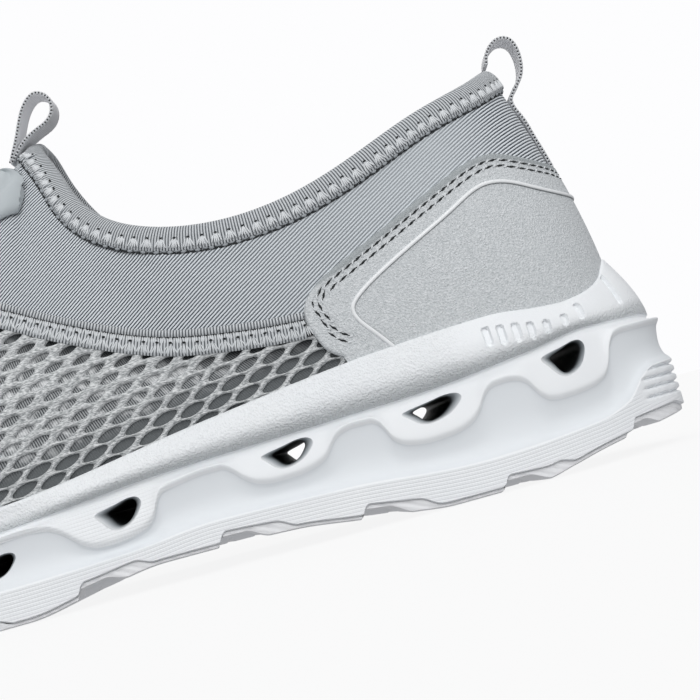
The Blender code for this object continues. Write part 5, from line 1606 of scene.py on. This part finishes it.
# Dark dots at the needle holes, and a dark row between the roll and the band: painted shade.
sew("seam_needle_holes", seam_place, seam_normal, needle_dark, "seam_binding",
    [(SEAM_STITCH, 0, 0.1, 1.2, 0, 12, 0.9, 0.6, 0.3), (1.9, 0.6, -1.25, 1.0, 0, 4, 1.75, 0.45, 0.35)])

# %% [markdown]
# ## Pull loops
# Both loops are woven tape with a whipped edge: pale stitches, and dots of a dark selvedge between them. The
# heel's tape stands up as a loop and then runs down the back seam. Each is a flat section swept along a line
# in the shoe's middle plane.

# %% Loop tape material
LOOP_WEAVE = 0.6
loop_tape, tree, shader = new_material("woven_loop_tape", "adaeb1", 0.65, {
    "Sheen Weight": 0.3, "Subsurface Weight": 0.6, "Subsurface Radius": (0.003, 0.003, 0.003),
    "Subsurface Scale": 1.0})
# Narrow woven tape: a plain grey face with a faint weave, thin enough for some light to pass through.
lie = add(tree, "ShaderNodeUVMap", uv_map="weave")
weave = add(tree, "ShaderNodeTexWave", {"Vector": lie, "Scale": wave_scale(LOOP_WEAVE), "Distortion": 0.5},
            bands_direction="DIAGONAL").outputs["Fac"]
tint = add(tree, "ShaderNodeMix", {"Factor": weave, 6: linear("d0d1d5"), 7: linear("f1f1f3")},
           data_type="RGBA")
bump = add(tree, "ShaderNodeBump", {"Height": weave, "Strength": 0.5, "Distance": 0.2 * MM})
feed(tree, shader, {"Base Color": tint, "Normal": bump})
selvedge, _, _ = new_material("dark_selvedge", "2b2d31", 0.8)
print("loop tape:", len(tree.nodes), "nodes")

# %% Heel loop and throat loop
HEEL_TAPE = [  # station, height of the middle of the tape, from the collar round the loop
    (24.3, 107.3), (23.7, 109.4), (22.0, 111.7), (19.4, 113.0), (17.0, 112.3), (15.6, 109.6), (15.4, 105.9),
    (16.7, 101.6),
]
HEEL_TAPE_DOWN = (96.0, 91.0, 86.0, 81.0, 76.6)  # heights where it lies on the back seam
THROAT_LOOP = [  # station, height of the middle of the loop's tape
    (150.7, 114.7), (148.8, 118.9), (146.2, 124.6), (143.6, 129.0), (140.3, 131.0), (137.7, 129.4),
    (137.0, 126.2), (138.5, 123.5), (141.8, 121.7), (145.8, 119.6), (148.7, 116.8),
]
HEEL_TAPE_WIDTH, THROAT_LOOP_WIDTH, TAPE_THICK = 9.0, 8.5, 1.0
WHIP = 0.9


def pull_loop(name, node, rows, width, closed):
    """A tape bent along a line in the shoe's middle plane, and the stitches over its two edges."""
    line = even_path([(station, 0.0, height) for station, height in rows], 0.4, closed)
    ahead = frames_along(line, np.tile([0.0, 1.0, 0.0], (len(line), 1)), closed)[0]
    out = np.cross(ahead, [0.0, 1.0, 0.0])
    w, t = width / 2, TAPE_THICK / 2
    face = [(-w, -0.6 * t), (-w + 0.3, -t), (-0.5 * w, -t), (0.5 * w, -t), (w - 0.3, -t), (w, -0.6 * t)]
    ring = np.array(face + [(-over, -up) for over, up in face] + face[:1])
    grid = swept(line, out, ring, closed)
    put_strip(name, grid if closed else capped(grid), loop_tape, node, sharp=50)
    rows = [(WHIP, 0, place, 0.0, 90, 4, 0.6, 0.42, TAPE_THICK + 0.1) for place in (-w + 0.15, w - 0.15)]
    sew(name + "_edges", line, out, pale_thread, node, rows, closed)
    rows = [(WHIP, 0.5 * WHIP, place, 0.0, 90, 0, 0.6, 0.46, 0.6 * TAPE_THICK)
            for place in (-w + 0.05, w - 0.05)]
    sew(name + "_selvedge", line, out, selvedge, node, rows, closed)


down_place, down_normal = skin_at(0.0, rise_at_height(0.0, np.array(HEEL_TAPE_DOWN)))
down_place = down_place + down_normal * (GAP + 0.1 + TAPE_THICK / 2)
heel_line = HEEL_TAPE + [(x, z) for x, _, z in down_place]
pull_loop("heel_loop", "heel_pull_tape", heel_line, HEEL_TAPE_WIDTH, False)
pull_loop("throat_loop", "front_pull_loop", THROAT_LOOP, THROAT_LOOP_WIDTH, True)

# %% [markdown]
# ## Instep badge
# A soft moulded pad sits on the instep. It is left plain. A rounded plan shape is laid on the skin ring by
# ring, and its height falls off at the edge like a pillow's.

# %% Instep badge
badge_rubber, _, _ = new_material("soft_moulded_rubber", "b9c0c3", 0.55, {
    "Subsurface Weight": 0.1, "Subsurface Radius": (0.002, 0.002, 0.002)})
# Silicone rubber: dull, slightly translucent, with a fine matt skin.
BADGE_HALF = [  # station and side of the pad's edge, from the middle of its rear round one half to its front
    (152.4, 0.0), (151.4, 7.9), (149.0, 13.0), (147.2, 15.9), (147.7, 18.1), (151.0, 21.4), (155.5, 23.0),
    (162.0, 22.4), (170.0, 18.6), (177.5, 11.5), (181.5, 0.0),
]
BADGE_MIDDLE = (166.0, 0.0)
BADGE_LIFT, BADGE_THICK, BADGE_EDGE = 1.1, 2.2, 0.3
GROOVE_PLACE, GROOVE_WIDTH, GROOVE_DEPTH = 0.85, 0.022, 0.9
INSTEP_FALL = 0.028  # how fast the instep falls off to the sides
mirrored = [(along, -side) for along, side in BADGE_HALF[-2:0:-1]]
edge = even_path(BADGE_HALF + mirrored, 1.0, closed=True)
edge = np.concatenate([edge, edge[:1]])
reach = np.concatenate([np.linspace(0, 0.76, 10), np.linspace(0.76, 1, 18)[1:]])
plan = BADGE_MIDDLE + reach[:, None, None] * (edge - BADGE_MIDDLE)
station = plan[..., 0]
ridge = np.array(RIDGE)
aside = plan[..., 1] + np.interp(station, ridge[:, 0], ridge[:, 1])
guess = np.interp(station, ridge[:, 0], ridge[:, 2]) - INSTEP_FALL * aside ** 2
targets = np.stack([station, aside, guess], axis=-1).reshape(-1, 3)
points, normals = skin_at(*settle(*nearest_on_skin(targets), targets, [0, 1], 14))
points, normals = points.reshape(*station.shape, 3), normals.reshape(*station.shape, 3)
pillow = np.sqrt(np.clip(1 - np.clip((reach - 0.9) / 0.1, 0, 1) ** 2, 0, 1))[:, None, None]
groove = GROOVE_DEPTH * np.exp(-((reach - GROOVE_PLACE) / GROOVE_WIDTH) ** 2)[:, None, None]
over = points + normals * (BADGE_LIFT + BADGE_EDGE + (BADGE_THICK - BADGE_EDGE) * pillow - groove)
under = points + normals * BADGE_LIFT
rim = np.stack([under[-1], over[-1]])
put_on("badge_pad", mesh_of("badge_pad", [under, over, rim]), badge_rubber, "instep_badge", sharp=60)

# %% [markdown]
# ## Foam bed and tread
# Inside lies a loose foam bed with a fabric face. Under the sole the rubber tread has slanted lugs in three
# lanes, with a deep channel between the lanes.

# %% Foam bed
bed_cloth, tree, shader = new_material("bed_cover_knit", "8d9194", 0.85)
# Brushed knit over foam: dull, with a fine speckle.
where = add(tree, "ShaderNodeTexCoord").outputs["Object"]
fuzz = add(tree, "ShaderNodeTexNoise", {"Vector": where, "Scale": 1.5 / MM, "Detail": 3.0})
tint = add(tree, "ShaderNodeMix", {"Factor": fuzz, 6: linear("73777a"), 7: linear("a9adb0")},
           data_type="RGBA")
feed(tree, shader, {"Base Color": tint})
INSOLE_THICKNESS, BED_ROOM = 4.0, 0.6
bed_share = np.linspace(0, 1, 120)
edges = []
for side in (LATERAL, MEDIAL):
    point, normal, run = outline_at(side, bed_share)
    inset = feather_at(run) + WALL + BED_ROOM
    edges.append(np.column_stack([point - normal * inset[:, None], np.zeros_like(run)]))
across = np.linspace(0, 1, 25)
under = ladder(*edges, across, seat_at, GAP)
over = ladder(*edges, across, seat_at, GAP + INSOLE_THICKNESS)
over[..., 2] -= 1.0 * smoothstep(0, 0.35, 0.5 - abs(across - 0.5))[None] + 0.6 * (abs(across - 0.5) > 0.49)
bed_grids = shell_grids(under, over)
bed = put_on("foam_bed", mesh_of("foam_bed", bed_grids[:2] + bed_grids[4:]), bed_cloth, "insole", sharp=50)

# %% Tread rubber
TREAD_RIDGE = 1.5
tread_rubber, tree, shader = new_material("pale_tread_rubber", "f3f4f6", 0.42, {
    "Subsurface Weight": 0.35, "Subsurface Radius": (0.003, 0.003, 0.003), "Subsurface Scale": 1.0})
# Clear-based rubber: light passes a little way in, so its edges look lit from within.
where = add(tree, "ShaderNodeTexCoord").outputs["Object"]
leaning = add(tree, "ShaderNodeMapping", {"Vector": where, "Rotation": (0.0, radians(24), 0.0)})
ridges = add(tree, "ShaderNodeTexWave", {
    "Vector": leaning, "Scale": wave_scale(TREAD_RIDGE * MM), "Distortion": 0.6},
    bands_direction="Z").outputs["Fac"]
bump = add(tree, "ShaderNodeBump", {"Height": ridges, "Strength": 0.35, "Distance": 0.3 * MM})
feed(tree, shader, {"Normal": bump})

TREAD_INSET = 0.9
LUG_SHARE, LUG_DEPTH, LUG_PHASE = 0.75, 2.1, 45.5
SIPE_PITCH, SIPE_WIDTH, SIPE_DEPTH = 6.8, 0.9, 0.9
LANES = [(0.24, 0.31), (0.69, 0.76)]  # channels between the lanes, as parts of the width
LANE_EASE = 0.012


def tread_depth(run, across):
    """How far the tread's under side is cut away at each place."""
    lane = np.where(across < LANES[0][0], 0.0, np.where(across < LANES[1][0], 0.5, 1.0))
    slant = 14.0 * np.abs(across - 0.5)
    place = np.mod((run - LUG_PHASE + slant) / LUG_PITCH + np.where(lane == 0.5, 0.5, 0.0), 1.0) * LUG_PITCH
    gap = LUG_SHARE * LUG_PITCH
    cut = LUG_DEPTH * smoothstep(gap - 4.0, gap + 2.0, place)
    cut = cut * smoothstep(LUG_PITCH + 0.1, LUG_PITCH - 0.9, place)
    sipe = np.abs(np.mod(run + 2.2 * slant, SIPE_PITCH) - 0.5 * SIPE_PITCH)
    inside = smoothstep(0.03, 0.07, np.minimum(across, 1 - across))
    cut = np.maximum(cut, SIPE_DEPTH * inside * smoothstep(SIPE_WIDTH, 0.3 * SIPE_WIDTH, sipe))
    for low, high in LANES:
        channel = LUG_DEPTH * smoothstep(low - LANE_EASE, low, across)
        cut = np.maximum(cut, channel * smoothstep(high + LANE_EASE, high, across))
    return cut


tread_share = np.linspace(0, 1, 620)
outer_lines, inner_lines = [], []
for side, lines in ((LATERAL, outer_lines), (MEDIAL, inner_lines)):
    point, normal, run = outline_at(side, tread_share)
    for inset in (TREAD_INSET, LIP_WIDTH + 0.2, LIP_WIDTH + GAP + 0.1):
        lines.append(np.column_stack([point - normal * inset, np.zeros_like(run)]))
    lip = ground_at(point[:, 0]) + lip_height(point[:, 0]) - 0.06
    for line, height in zip(lines, (lip, lip, ground_at(lines[2][:, 0]) + TREAD_SEAT - 2 * GAP)):
        line[:, 2] = height
banks = [(low - LANE_EASE, low, high, high + LANE_EASE) for low, high in LANES]
across = np.sort(np.concatenate([np.linspace(0, 1, 45), *banks]))
under = ladder(outer_lines[0], inner_lines[0], across, ground_at)
fade = smoothstep(0, 12, np.linalg.norm(outer_lines[0] - inner_lines[0], axis=1))[:, None]
under[..., 2] += fade * tread_depth(tread_share[:, None] * HALF_RUN, across[None])
under[:, [0, -1], 2] += 0.35
top = ladder(outer_lines[2], inner_lines[2], np.linspace(0, 1, 9), ground_at, TREAD_SEAT - 2 * GAP)
sides = [np.stack([under[:, 0], *outer_lines], axis=1), np.stack([under[:, -1], *inner_lines], axis=1)]
put_on("tread", mesh_of("tread", [under, top, *sides]), tread_rubber, "outsole", sharp=40)

# %% The scene's bounds, and the end
low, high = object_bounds()
